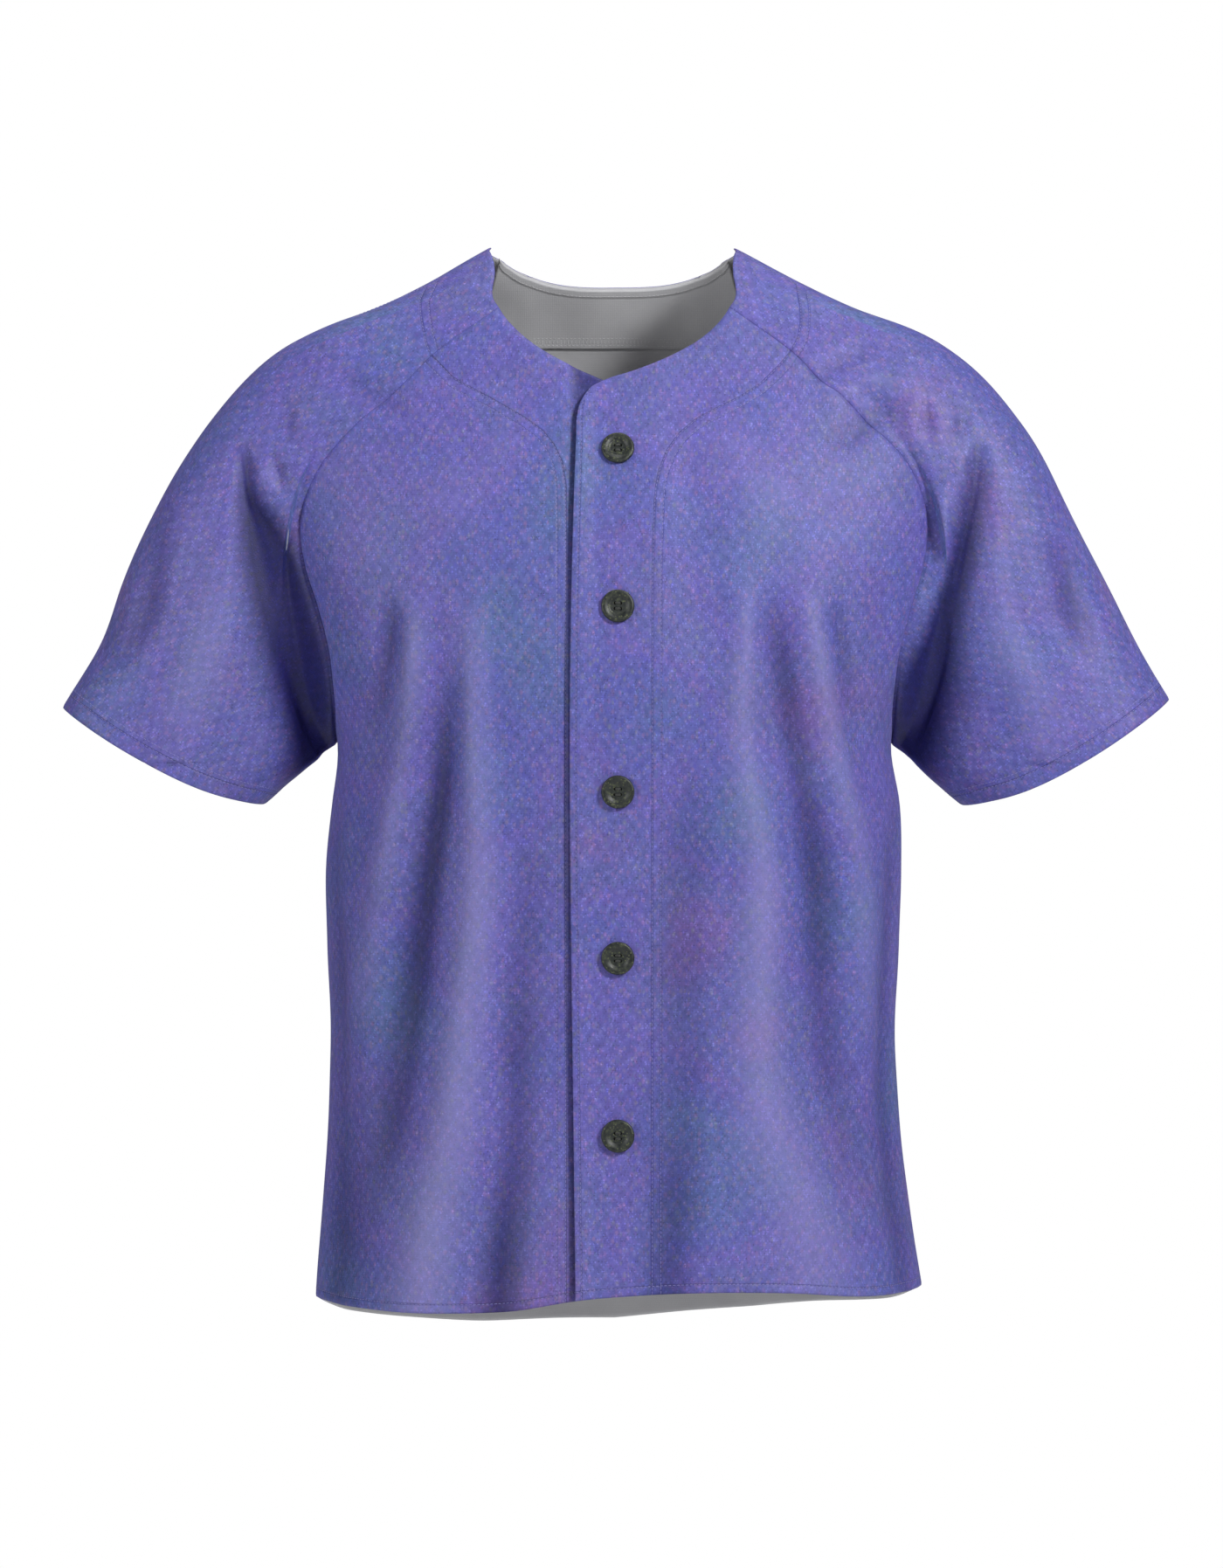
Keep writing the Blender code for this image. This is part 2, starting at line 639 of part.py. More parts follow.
def sleeve_root():
    """The sleeve's first ring, round the armhole and over the neck edge, as (angle, height) on the body."""
    neck_front = evenly(seam_line(NECK_SIDE), NECK_ROWS_FRONT)
    front = raglan_seam(False)[::-1]
    back = raglan_seam(True)
    start = seam_line(BACK_RAGLAN, True)[0]
    rim = seam_line(NECK_BACK, True)
    rim = np.concatenate([rim[rim[:, 0] < start[0] - 0.02], start[None]])[::-1]
    neck_back = evenly(rim, NECK_ROWS_BACK)
    return np.concatenate([neck_front[:-1], front[:-1], back[:-1], neck_back[:-1]])


def sleeve_ring(rings, row, shares, half_count):
    """One ring of the sleeve: shares of the way from its top down the front, then from its top down the back."""
    top = np.array([rings["top_x"][row], rings["top_z"][row]])
    low = np.array([rings["low_x"][row], rings["low_z"][row]])
    outward = unit(np.array([top[1] - low[1], low[0] - top[0]]))
    turn = np.linspace(0, math.pi, 181)
    size = (np.sin(turn) ** SLEEVE_SQUARENESS + np.abs(np.cos(turn)) ** SLEEVE_SQUARENESS) ** (1 / SLEEVE_SQUARENESS)
    high, wide = np.cos(turn) / size, np.sin(turn) / size
    ring = []
    for depth, skew, part in (
        (-rings["front"][row], rings["skew"][row], shares[:half_count]),
        (rings["back"][row], -rings["skew"][row], shares[half_count:]),
    ):
        out = rings["bow"][row] * wide**2 * (1 - rings["lean"][row] * high) + skew * wide
        flat = (top + low) / 2 + high[:, None] * (top - low) / 2 + out[:, None] * outward
        curve = np.stack([flat[:, 0], MIDDLE_Y + depth * wide, flat[:, 1]], -1)
        length = np.concatenate([[0], np.cumsum(np.linalg.norm(np.diff(curve, axis=0), axis=1))])
        ring.append(np.stack([np.interp(part * length[-1], length, curve[:, k]) for k in range(3)], -1))
    return np.concatenate(ring)


def sleeve_base(side):
    """A sleeve without its folds: its points and normals, and along its first ring the wall directions and the
    directions square to the seam, away from the body's panels."""
    rings = LEFT_SLEEVE if side > 0 else RIGHT_SLEEVE
    root = sleeve_root() * (side, 1)
    start, seam_normal = body_point(root[:, 0], root[:, 1]), body_normal(root[:, 0], root[:, 1])
    half_count = NECK_ROWS_FRONT + ROWS_ABOVE_ARM
    steps = np.linalg.norm(np.roll(start, -1, axis=0) - start, axis=1)
    front_share = np.concatenate([[0], np.cumsum(steps[:half_count])[:-1]]) / steps[:half_count].sum()
    back_share = 1 - np.concatenate([[0], np.cumsum(steps[half_count:])[:-1]]) / steps[half_count:].sum()
    shares = np.concatenate([front_share, back_share])
    loops = [sleeve_ring(rings, row, shares, half_count) * (side, 1, 1) for row in range(len(rings["along"]))]
    # Half way down, the cloth leaves the seam square to it and along the body. By the neck and the armpit it leaves
    # straight towards the next ring.
    along_seam = unit(np.roll(start, -1, axis=0) - np.roll(start, 1, axis=0))
    reach = loops[0] - start
    square = unit(np.cross(seam_normal, along_seam)) * side
    own = (0.7 * smooth_step(0.12, 0.35, shares) * smooth_step(0.2, 0.6, 1 - shares))[:, None]
    leave = unit(own * square + (1 - own) * unit(reach)) * np.linalg.norm(reach, axis=1, keepdims=True)
    knots = np.concatenate([[0], rings["along"]])
    levels = np.stack([start, *loops])
    slopes = np.gradient(levels, knots, axis=0)
    slopes[0] = leave / knots[1]
    points = hermite(knots, levels, slopes, np.linspace(0, 1, SLEEVE_ROWS + 1))
    normals = grid_normals(points, True) * side
    walls = miter(seam_normal, normals[0])
    neck = np.arange(len(shares))
    free = (neck < NECK_ROWS_FRONT) | (neck > NECK_ROWS_FRONT + 2 * ROWS_ABOVE_ARM)
    walls = np.where(free[:, None], normals[0], walls)
    normals[0] = seam_normal
    return points, normals, walls, square


def build_sleeve(name, side):
    points, normals, walls, square = sleeve_base(side)
    own = smooth_step(0.0, 0.14, np.linspace(0, 1, SLEEVE_ROWS + 1))[:, None]
    amount = body_folds(points, normals) + own * sleeve_folds(points, normals, side)
    points = points + normals * amount[..., None]
    directions = grid_normals(points, True) * side
    directions[0] = walls
    points[0] = open_seam(points[0], normals[0], points[0] + square, closed=True)
    vertices, faces = shell(points, directions, CLOTH, True)
    return make_object(name, vertices, faces[:, ::side], PRINTED_CLOTH, 0.75)


def clear_scene():
    for item in list(bpy.data.objects):
        bpy.data.objects.remove(item)


def main():
    clear_scene()
    build_front("front_left", 1, NECK_UPPER, EDGE_UPPER, upper_lift)
    build_front("front_right", -1, NECK_LOWER, EDGE_LOWER, lower_dip)
    build_back()
    build_sleeve("sleeve_left", 1)
    build_sleeve("sleeve_right", -1)
    build_neck_facing()
    for number, height in enumerate(BUTTON_HEIGHTS, 1):
        build_button(number, height)


main()
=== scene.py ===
import math

import bpy
import numpy as np
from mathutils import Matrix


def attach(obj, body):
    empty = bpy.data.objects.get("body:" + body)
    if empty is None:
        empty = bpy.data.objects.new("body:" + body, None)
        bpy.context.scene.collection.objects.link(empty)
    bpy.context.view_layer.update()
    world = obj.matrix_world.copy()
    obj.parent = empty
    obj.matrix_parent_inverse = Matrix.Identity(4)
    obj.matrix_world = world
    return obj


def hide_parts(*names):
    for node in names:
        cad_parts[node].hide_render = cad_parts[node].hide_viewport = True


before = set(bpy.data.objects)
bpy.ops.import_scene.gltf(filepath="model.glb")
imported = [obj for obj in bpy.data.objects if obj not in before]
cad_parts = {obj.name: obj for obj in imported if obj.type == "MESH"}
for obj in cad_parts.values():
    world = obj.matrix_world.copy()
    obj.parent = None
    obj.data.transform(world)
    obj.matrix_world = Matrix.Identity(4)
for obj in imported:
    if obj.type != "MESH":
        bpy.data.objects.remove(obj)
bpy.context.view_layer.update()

mm = 0.001
neckHeight = 10.0  # heights in the tables are counted from the neck points, this far above the origin

# Lengths are in millimetres until a mesh is made. Angles go round the body: 0 at the centre front,
# 90 degrees at the wearer's left side, 180 at the centre back.


def table(names, rows):
    # named columns, one array each
    return dict(zip(names.split(), np.array(rows, float).T))


cloth = {
    "thickness": 1.6,
    "seamGap": 0.16,
    "seamPinch": 0.8,  # how deep the cloth dives where two panels are sewn
    "seamWidth": 1.9,
    "edgeRound": 1.7,  # the last of each free edge is rounded off
    "edgeThin": 0.5,
    "middleY": 5.0,
    "rowsBelowArm": 84,
    "rowsAboveArm": 84,
    "frontColumns": 112,
    "backColumns": 184,
    "crowding": 0.62,  # columns stand closer near the edges, 0 for evenly
}

body = table(
    "height left right front back squareness",
    [
        (-790, 226, 211, 126, 119, 2.3), (-736, 215.5, 207, 124, 116, 2.3),
        (-681, 207.5, 203, 121, 111, 2.3), (-620, 199.5, 199.5, 119, 106, 2.3),
        (-560, 195, 197, 118, 102, 2.35), (-486, 197.5, 199.5, 120, 102, 2.35),
        (-437, 199.5, 200.5, 122, 104, 2.4), (-389, 199.5, 197, 125, 107, 2.4),
        (-346, 193, 193, 127, 110, 2.4), (-292, 210, 210, 128, 115, 2.4), (-252, 222, 222, 124, 118, 2.4),
        (-226, 230, 230, 120, 118, 2.4), (-180, 238, 238, 109, 117, 2.35), (-132, 240, 240, 90, 107, 2.3),
        (-100, 235, 235, 75, 96, 2.25), (-71, 220, 220, 63, 83, 2.2), (-44, 168, 168, 50, 68, 2.2),
        (-20, 115, 115, 33, 54, 2.2), (0, 84, 86, 15, 45, 2.2), (12, 66, 66, 5, 40, 2.2),
    ],
)
hem = table(
    "angle height",
    [
        (-180, -756), (-150, -757), (-120, -747), (-90, -733), (-60, -735), (-32, -737), (-20, -735),
        (-6, -727), (4, -724), (31, -723), (48, -727), (70, -726), (90, -725), (120, -738), (150, -745.5),
        (165, -751), (180, -756),
    ],
)
frontRaglan = table(
    "x height",
    [
        (80, -44), (104, -61), (126, -78), (147, -99), (184, -132), (203, -154), (215, -180), (218, -198),
        (214, -226), (206, -252), (197, -292), (194, -324), (193, -346),
    ],
)
backRaglan = table(
    "x height",
    [
        (60, -16), (82, -37), (105, -65), (135, -105), (165, -150), (187, -195), (198, -240), (199, -285),
        (196, -322), (193, -346),
    ],
)
neckSide = table("x height", [(84, 0), (84, -5), (83, -18), (80, -44)])
neckBack = table(
    "x height",
    [
        (84, 0), (80, -5.5), (74, -9.5), (68, -13), (60, -16), (50, -19.5), (35, -22.5), (18, -23.8),
        (0, -24),
    ],
)


def smoothStep(low, high, value):
    # 3 t^2 - 2 t^3, with t the share of the way from low to high
    share = np.clip((value - low) / (high - low), 0, 1)
    return share * share * (3 - 2 * share)


def hermite(knots, values, slopes, at):
    # cubic through the values with a given slope at each knot
    i = np.clip(np.searchsorted(knots, at) - 1, 0, len(knots) - 2)
    span = knots[i + 1] - knots[i]
    t = (at - knots[i]) / span
    extra = (1,) * (values.ndim - 1)
    t, span = t.reshape(t.shape + extra), span.reshape(span.shape + extra)
    start = (1 + 2 * t) * (1 - t) ** 2 * values[i] + t * (1 - t) ** 2 * span * slopes[i]
    end = t**2 * (3 - 2 * t) * values[i + 1] + t**2 * (t - 1) * span * slopes[i + 1]
    return start + end


def spline(knots, values, at):
    # cubic whose slopes are the differences between neighbouring values
    if knots[0] > knots[-1]:
        knots, values = knots[::-1], values[::-1]
    return hermite(knots, values, np.gradient(values, knots, axis=0), np.clip(at, knots[0], knots[-1]))


def unit(vectors):
    return vectors / np.maximum(np.linalg.norm(vectors, axis=-1, keepdims=True), 1e-9)


def bodySize(name, height):
    return spline(body["height"], body[name], height)


def bodyPoint(angle, height):
    # superellipse at each height: |x/a|^p + |y/b|^p = 1, with a, b and p read from the table
    power = bodySize("squareness", height)
    sine, cosine = np.sin(angle), np.cos(angle)
    size = (np.abs(sine) ** power + np.abs(cosine) ** power) ** (1 / power)
    wide = np.where(sine > 0, bodySize("left", height), bodySize("right", height))
    depth = np.where(cosine > 0, bodySize("front", height), bodySize("back", height))
    return np.stack([wide * sine / size, cloth["middleY"] - depth * cosine / size, height], -1)


def bodyNormal(angle, height):
    # cross product of the slopes round and up the body
    across = bodyPoint(angle + 1e-3, height) - bodyPoint(angle - 1e-3, height)
    up = bodyPoint(angle, height + 0.5) - bodyPoint(angle, height - 0.5)
    return unit(np.cross(across, up))


def angleOf(x, height, behind=False):
    # the body's angle where its section reaches x
    power = bodySize("squareness", height)
    wide = np.where(x > 0, bodySize("left", height), bodySize("right", height))
    sine = np.clip(x / wide, -1, 1)
    cosine = (1 - np.abs(sine) ** power) ** (1 / power)
    return np.arctan2(sine, -cosine if behind else cosine)


def crowded(count):
    # shares from 0 to 1, closer together at both ends: u - k sin(2 pi u) / (2 pi)
    u = np.linspace(0, 1, count + 1)
    return u - cloth["crowding"] * np.sin(2 * math.pi * u) / (2 * math.pi)


def spread(line, shares):
    # points at the given shares of a line's length on the body; the line is (angle, height)
    dense = np.linspace(0, len(line) - 1, 60 * len(line))
    line = spline(np.arange(len(line), dtype=float), line, dense)
    steps = np.linalg.norm(np.diff(bodyPoint(line[:, 0], line[:, 1]), axis=0), axis=1)
    length = np.concatenate([[0], np.cumsum(steps)])
    return np.stack([np.interp(shares * length[-1], length, line[:, k]) for k in (0, 1)], -1)


def seamLine(points, behind=False):
    return np.stack([angleOf(points["x"], points["height"], behind), points["height"]], -1)


def hemHeight(angle):
    return spline(hem["angle"], hem["height"], np.degrees(angle))


def halfCrowded(count):
    # shares from 0 to 1, closer together at the start
    u = np.linspace(0, 1, count + 1)
    return u - cloth["crowding"] * np.sin(math.pi * u) / math.pi


def sideSeam(side):
    angle = side * math.pi / 2
    low, high = hemHeight(np.array(angle)), frontRaglan["height"][-1]
    heights = low + (high - low) * halfCrowded(cloth["rowsBelowArm"])
    return np.stack([np.full_like(heights, angle), heights], -1)


def raglanSeam(behind):
    line = seamLine(backRaglan if behind else frontRaglan, behind)[::-1]
    return spread(line, np.linspace(0, 1, cloth["rowsAboveArm"] + 1))


def coons(bottom, top, inner, outer, out):
    # blend of four edges: (bottom to top) + (inner to outer) - (the four corners)
    up = np.linspace(0, 1, len(inner))[:, None, None]
    out = out[None, :, None]
    ruled = (1 - up) * bottom[None] + up * top[None] + (1 - out) * inner[:, None] + out * outer[:, None]
    lower, upper = (1 - out) * bottom[0] + out * bottom[-1], (1 - out) * top[0] + out * top[-1]
    return ruled - (1 - up) * lower - up * upper


def gridNormals(points, closed=False):
    # cross product of the grid's two directions
    down = np.gradient(points, axis=0)
    if closed:
        along = (np.roll(points, -1, axis=1) - np.roll(points, 1, axis=1)) / 2
    else:
        along = np.gradient(points, axis=1)
    return unit(np.cross(along, down))


# Short folds, each a soft trough (negative) or ridge from one point to another as seen from the front or back
foldColumns = "across1 height1 across2 height2 width1 width2 depth"
folds = {
    "bodyFront": table(
        foldColumns,
        [
            (-196, -84, -130, -128, 9, 11, -2.5), (188, -70, 134, -97, 9, 9, -3),
            (186, -88, 142, -113, 8, 9, 2.5), (204, -106, 150, -143, 9, 10, -3),
            (-60, -120, -120, -200, 22, 26, 2), (60, -120, 120, -200, 22, 26, 2),
        ],
    ),
    "bodyBack": table(
        foldColumns,
        [
            (-30, -300, -46, -800, 15, 24, 5.5), (-72, -260, -96, -800, 14, 18, -6),
            (-112, -230, -142, -800, 14, 18, 5), (-150, -250, -172, -600, 12, 14, -4.5),
            (6, -340, 2, -800, 15, 18, -4.5), (40, -290, 52, -800, 14, 22, 5.5),
            (80, -250, 100, -800, 14, 18, -6), (120, -240, 146, -800, 14, 18, 5),
            (154, -260, 176, -600, 12, 14, -4.5), (-120, -90, -60, -120, 14, 14, -2.5),
            (126, -96, 64, -124, 14, 14, -2.5),
        ],
    ),
    "bodySide": table(
        foldColumns,
        [
            (-34, -380, -44, -800, 14, 18, -4), (6, -400, 4, -800, 14, 16, 1.5),
            (40, -380, 50, -800, 14, 18, -4),
        ],
    ),
    "leftBack": table(foldColumns, [(240, -170, 228, -345, 14, 17, -7.5), (288, -170, 306, -345, 16, 17, 4)]),
    "rightBack": table(
        foldColumns, [(-242, -165, -228, -345, 14, 17, -8), (-286, -170, -306, -345, 16, 17, 4)]
    ),
}
# Long falling folds of the front: how far across, how wide and how deep, from the top down
drapeColumns = "height across width depth"
drapes = {
    "body": [
        [(-240, -154, 6, 0), (-262, -155, 7, -4), (-300, -158, 8, -3), (-352, -166, 10, 0)],
        [
            (-240, -134, 9, 0), (-269, -135, 10, 4), (-352, -145, 11, 4), (-436, -160, 12, 4),
            (-525, -175, 14, 3), (-620, -190, 14, 0),
        ],
        [
            (-255, -115, 9, 0), (-300, -117, 10, -3), (-352, -118.5, 10, -7), (-436, -130, 12, -8.5),
            (-525, -142, 14, -7), (-615, -159, 17, -5), (-700, -182, 20, -2), (-800, -200, 20, 0),
        ],
        [
            (-235, -94, 10, 0), (-269, -94, 10, 3), (-352, -94, 11, 5.5), (-436, -92, 13, 6.5),
            (-525, -100, 16, 7), (-615, -110, 20, 7), (-700, -126, 24, 6.5), (-800, -140, 26, 6),
        ],
        [
            (-330, -60, 12, 0), (-436, -60, 15, -2.5), (-525, -66, 15, -4.5), (-615, -67, 15, -5),
            (-700, -77, 16, -7.5), (-800, -84, 18, -8),
        ],
        [
            (-330, 50, 18, 0), (-436, 48, 20, -4), (-525, 46, 20, -4), (-615, 45, 20, -5),
            (-700, 36, 18, -6), (-800, 32, 18, -6),
        ],
        [
            (-230, 87, 10, 0), (-269, 88, 10, 4), (-352, 88, 13, 6), (-436, 100, 15, 7),
            (-525, 99, 17, 6.5), (-615, 108, 24, 6), (-700, 140, 32, 5), (-800, 158, 32, 4),
        ],
        [
            (-240, 110, 8, 0), (-269, 113, 9, -4), (-352, 127, 11, -6.5), (-436, 141, 13, -6.5),
            (-525, 147, 15, -5), (-615, 158, 17, -3), (-700, 168, 17, 0),
        ],
        [
            (-240, 132, 8, 0), (-269, 136, 9, 4), (-352, 151, 10, 4.5), (-436, 170, 11, 4.5),
            (-525, 173, 12, 3), (-615, 180, 12, 0),
        ],
        [(-242, 152, 6, 0), (-262, 154, 6, -3.5), (-300, 158, 7, -3), (-350, 168, 8, 0)],
    ],
    "rightSleeve": [
        [
            (-134, -258, 5, 0), (-150, -256, 6, -5), (-171, -253, 9, -9), (-219, -238, 23, -13.5),
            (-267, -225, 25, -13), (-316, -213, 25, -13), (-350, -205, 22, -12), (-380, -203, 20, -10),
        ],
        [(-146, -243, 6, 0), (-165, -243, 7, 3), (-190, -240, 7, 0)],
        [(-143, -236, 4.5, 0), (-160, -231, 5, -4), (-180, -224, 5, 0)],
        [(-105, -224, 4.5, 0), (-122, -224, 5, -3), (-143, -223, 5, 0)],
        [
            (-180, -268, 12, 0), (-219, -270, 14, 3), (-267, -276, 16, 4.5), (-316, -294, 18, 4.5),
            (-360, -306, 18, 2),
        ],
        [(-180, -314, 9, 0), (-219, -318, 10, -3), (-267, -328, 12, -4.5), (-300, -344, 12, 0)],
    ],
    "leftSleeve": [
        [
            (-130, 254, 5, 0), (-150, 252, 6, -4), (-171, 250, 8, -6.5), (-219, 240, 12, -10),
            (-267, 227, 17, -11), (-316, 214, 27, -12), (-350, 207, 24, -11), (-380, 204, 20, -9),
        ],
        [(-170, 228, 5, 0), (-195, 227, 6, 3.5), (-219, 226, 6, 4), (-262, 215, 6, 2), (-290, 208, 6, 0)],
        [(-105, 216, 4.5, 0), (-122, 216, 5, -3.5), (-145, 215, 5, 0)],
        [(-105, 242, 5, 0), (-124, 241, 6, -2.5), (-145, 238, 6, 0)],
        [
            (-180, 262, 12, 0), (-219, 264, 13, 3), (-267, 270, 15, 4.5), (-316, 288, 18, 4.5),
            (-360, 298, 18, 2),
        ],
        [(-180, 306, 9, 0), (-219, 311, 10, -3), (-267, 322, 12, -4.5), (-300, 336, 12, 0)],
    ],
}


def drapeHeight(points, normals, rows):
    # sum of depth * exp(-((x - centre) / width)^2), all three read at the point's height, on the side that
    # faces forwards
    amount = np.zeros(points.shape[:-1])
    for row in rows:
        line = table(drapeColumns, row[::-1])
        names = ("across", "width", "depth")
        centre, width, depth = (spline(line["height"], line[name], points[..., 2]) for name in names)
        inside = (points[..., 2] > line["height"][0]) & (points[..., 2] < line["height"][-1])
        amount += np.where(inside, depth, 0) * np.exp(-(((points[..., 0] - centre) / width) ** 2))
    return amount * smoothStep(0.0, 0.5, -normals[..., 1])


def foldHeight(points, normals, rows, across, facing):
    # sum of depth * exp(-(distance from the fold's line / width)^2), faded at both ends and on the far side
    here = np.stack([points[..., across], points[..., 2]], -1)[..., None, :]
    start = np.stack([rows["across1"], rows["height1"]], -1)
    run = np.stack([rows["across2"], rows["height2"]], -1) - start
    share = np.sum((here - start) * run, -1) / np.sum(run * run, -1)
    held = np.clip(share, 0, 1)
    off = np.linalg.norm(here - start - held[..., None] * run, axis=-1)
    width = rows["width1"] + held * (rows["width2"] - rows["width1"])
    ends = smoothStep(-0.12, 0.3, share) * smoothStep(-0.12, 0.3, 1 - share)
    amount = np.sum(rows["depth"] * ends * np.exp(-((off / width) ** 2)), -1)
    return amount * smoothStep(0.0, 0.5, normals @ np.array(facing, float))


def bodyFolds(points, normals):
    return (
        foldHeight(points, normals, folds["bodyFront"], 0, (0, -1, 0))
        + drapeHeight(points, normals, drapes["body"])
        + foldHeight(points, normals, folds["bodyBack"], 0, (0, 1, 0))
        + foldHeight(points, normals, folds["bodySide"], 1, (1, 0, 0))
        + foldHeight(points, normals, folds["bodySide"], 1, (-1, 0, 0))
        + ripples(points)
    )


ripple = table(
    "x y z turn height",
    [
        (0.052, 0.031, 0.009, 0.4, 0.34), (-0.074, 0.022, 0.021, 2.1, 0.24),
        (0.035, -0.04, 0.047, 4.0, 0.24), (0.094, 0.05, -0.016, 1.2, 0.15),
        (-0.03, 0.063, 0.083, 5.3, 0.13), (0.128, -0.02, 0.037, 3.1, 0.1),
    ],
)


def ripples(points):
    # sum of height * sin(x X + y Y + z Z + turn)
    ways = np.stack([ripple["x"], ripple["y"], ripple["z"]])
    return np.sum(ripple["height"] * np.sin(points @ ways + ripple["turn"]), -1)


# meshes


def gridQuads(index):
    # the four corners of each cell of a grid of vertex numbers
    return np.stack([index[:-1, :-1], index[:-1, 1:], index[1:, 1:], index[1:, :-1]], -1).reshape(-1, 4)


def wrappedQuads(rows, columns):
    # a grid whose last column joins its first
    index = np.arange(rows * columns).reshape(rows, columns)
    return gridQuads(np.concatenate([index, index[:, :1]], axis=1))


def panelMesh(name, points, directions, distances, uv, closed, flip, materials, bands=(), faceOn=None):
    # outer grid, the same grid moved inwards by the cloth's thickness, and strips round the free edges
    rows, columns = points.shape[:2]
    edge = smoothStep(0, cloth["edgeRound"], distances["free"])
    thin = cloth["thickness"] * (1 - cloth["edgeThin"] * (1 - edge))[..., None]
    spare = (cloth["thickness"] - thin) / 2
    outer = points - directions * spare
    inner = outer - directions * thin
    index = np.arange(rows * columns).reshape(rows, columns)
    if closed:
        index = np.concatenate([index, index[:, :1]], axis=1)
    quads = gridQuads(index)
    rims = [index[0][::-1], index[-1]]
    if not closed:
        rims += [index[:, 0], index[::-1, -1]]
    below = rows * columns
    strips = [np.stack([r[1:], r[1:] + below, r[:-1] + below, r[:-1]], -1) for r in rims]
    faces = np.concatenate([quads, quads[:, ::-1] + below, *strips])
    if flip:
        faces = faces[:, ::-1]
    vertices = np.concatenate([outer.reshape(-1, 3), inner.reshape(-1, 3)])
    marked = np.stack([distances[k] for k in ("placket", "hem", "line")], -1)
    seamMap = np.concatenate([marked.reshape(-1, 3)] * 2)
    mesh = makeMesh(name, vertices, faces)
    layer = mesh.uv_layers.new(name="clothUv")
    places = np.concatenate([uv.reshape(-1, uv.shape[-1])] * 2)[faces]
    if closed:
        # the cloth's length, and across it whichever of its height and depth the face turns least away from
        fronts = np.concatenate([faceOn.reshape(-1)] * 2)[faces].mean(axis=1) > 0.62
        places = np.where(fronts[:, None, None], places[..., (0, 2)], places[..., (1, 2)])
    layer.uv.foreach_set("vector", (places * mm).astype(np.float32).ravel())
    marks = mesh.attributes.new("seamMap", "FLOAT_VECTOR", "POINT")
    marks.data.foreach_set("vector", seamMap.astype(np.float32).ravel())
    # fold depth, kept to paint shade in the folds and highlight along the ridges
    paintedFoldShade = mesh.attributes.new("foldDepth", "FLOAT", "POINT")
    paintedFoldShade.data.foreach_set("value", np.concatenate([distances["fold"].ravel()] * 2).astype(np.float32))
    slots = np.zeros(len(faces), np.int32)
    slots[len(quads) : 2 * len(quads)] = 1
    for band in bands:
        turned = band.reshape(-1)[quads].all(axis=1)
        slots[len(quads) : 2 * len(quads)][turned] = 0
    mesh.polygons.foreach_set("material_index", slots)
    return makeObject(name, mesh, materials)


def makeMesh(name, vertices, faces):
    # vertices in millimetres from the neck points, faces an array of quads or triangles
    mesh = bpy.data.meshes.new(name)
    sides = faces.shape[1]
    mesh.vertices.add(len(vertices))
    mesh.vertices.foreach_set("co", ((vertices + (0, 0, neckHeight)) * mm).astype(np.float32).ravel())
    mesh.loops.add(faces.size)
    mesh.loops.foreach_set("vertex_index", faces.astype(np.int32).ravel())
    mesh.polygons.add(len(faces))
    mesh.polygons.foreach_set("loop_start", np.arange(0, faces.size, sides, dtype=np.int32))
    mesh.update(calc_edges=True)
    mesh.validate()
    mesh.shade_smooth()
    return mesh


def makeObject(name, mesh, materials):
    item = bpy.data.objects.new(name, mesh)
    bpy.context.scene.collection.objects.link(item)
    for material in materials:
        mesh.materials.append(material)
    return item


def lengthAlong(points, axis):
    # running length of the grid's lines along one axis, from its first point
    steps = np.linalg.norm(np.diff(points, axis=axis), axis=-1)
    start = np.zeros_like(np.take(steps, [0], axis=axis))
    return np.concatenate([start, np.cumsum(steps, axis=axis)], axis=axis)


def fromEnd(length, axis):
    return np.take(length, [-1], axis=axis) - length


def lineDistance(x, z, line):
    # signed distance to a polyline seen from the front, positive on its right as it is walked
    dense = np.linspace(0, len(line["x"]) - 1, 240)
    knots = np.arange(len(line["x"]), dtype=float)
    path = np.stack([np.interp(dense, knots, line["x"]), np.interp(dense, knots, line["height"])], -1)
    start, run = path[:-1], np.diff(path, axis=0)
    here = np.stack([x, z], -1).reshape(-1, 1, 2)
    share = np.clip(np.sum((here - start) * run, -1) / np.sum(run * run, -1), 0, 1)
    off = here - start - share[..., None] * run
    length = np.linalg.norm(off, axis=-1)
    near = np.argmin(length, axis=1)
    pick = np.arange(len(near))
    turn = off[pick, near, 0] * run[near, 1] - off[pick, near, 1] * run[near, 0]
    return (length[pick, near] * np.where(turn < 0, -1, 1)).reshape(x.shape)


# materials


def tone(red, green, blue):
    # sRGB 0 to 255 as Blender's linear colour
    share = np.array([red, green, blue]) / 255
    linear = np.where(share <= 0.04045, share / 12.92, ((share + 0.055) / 1.055) ** 2.4)
    return (*linear.tolist(), 1.0)


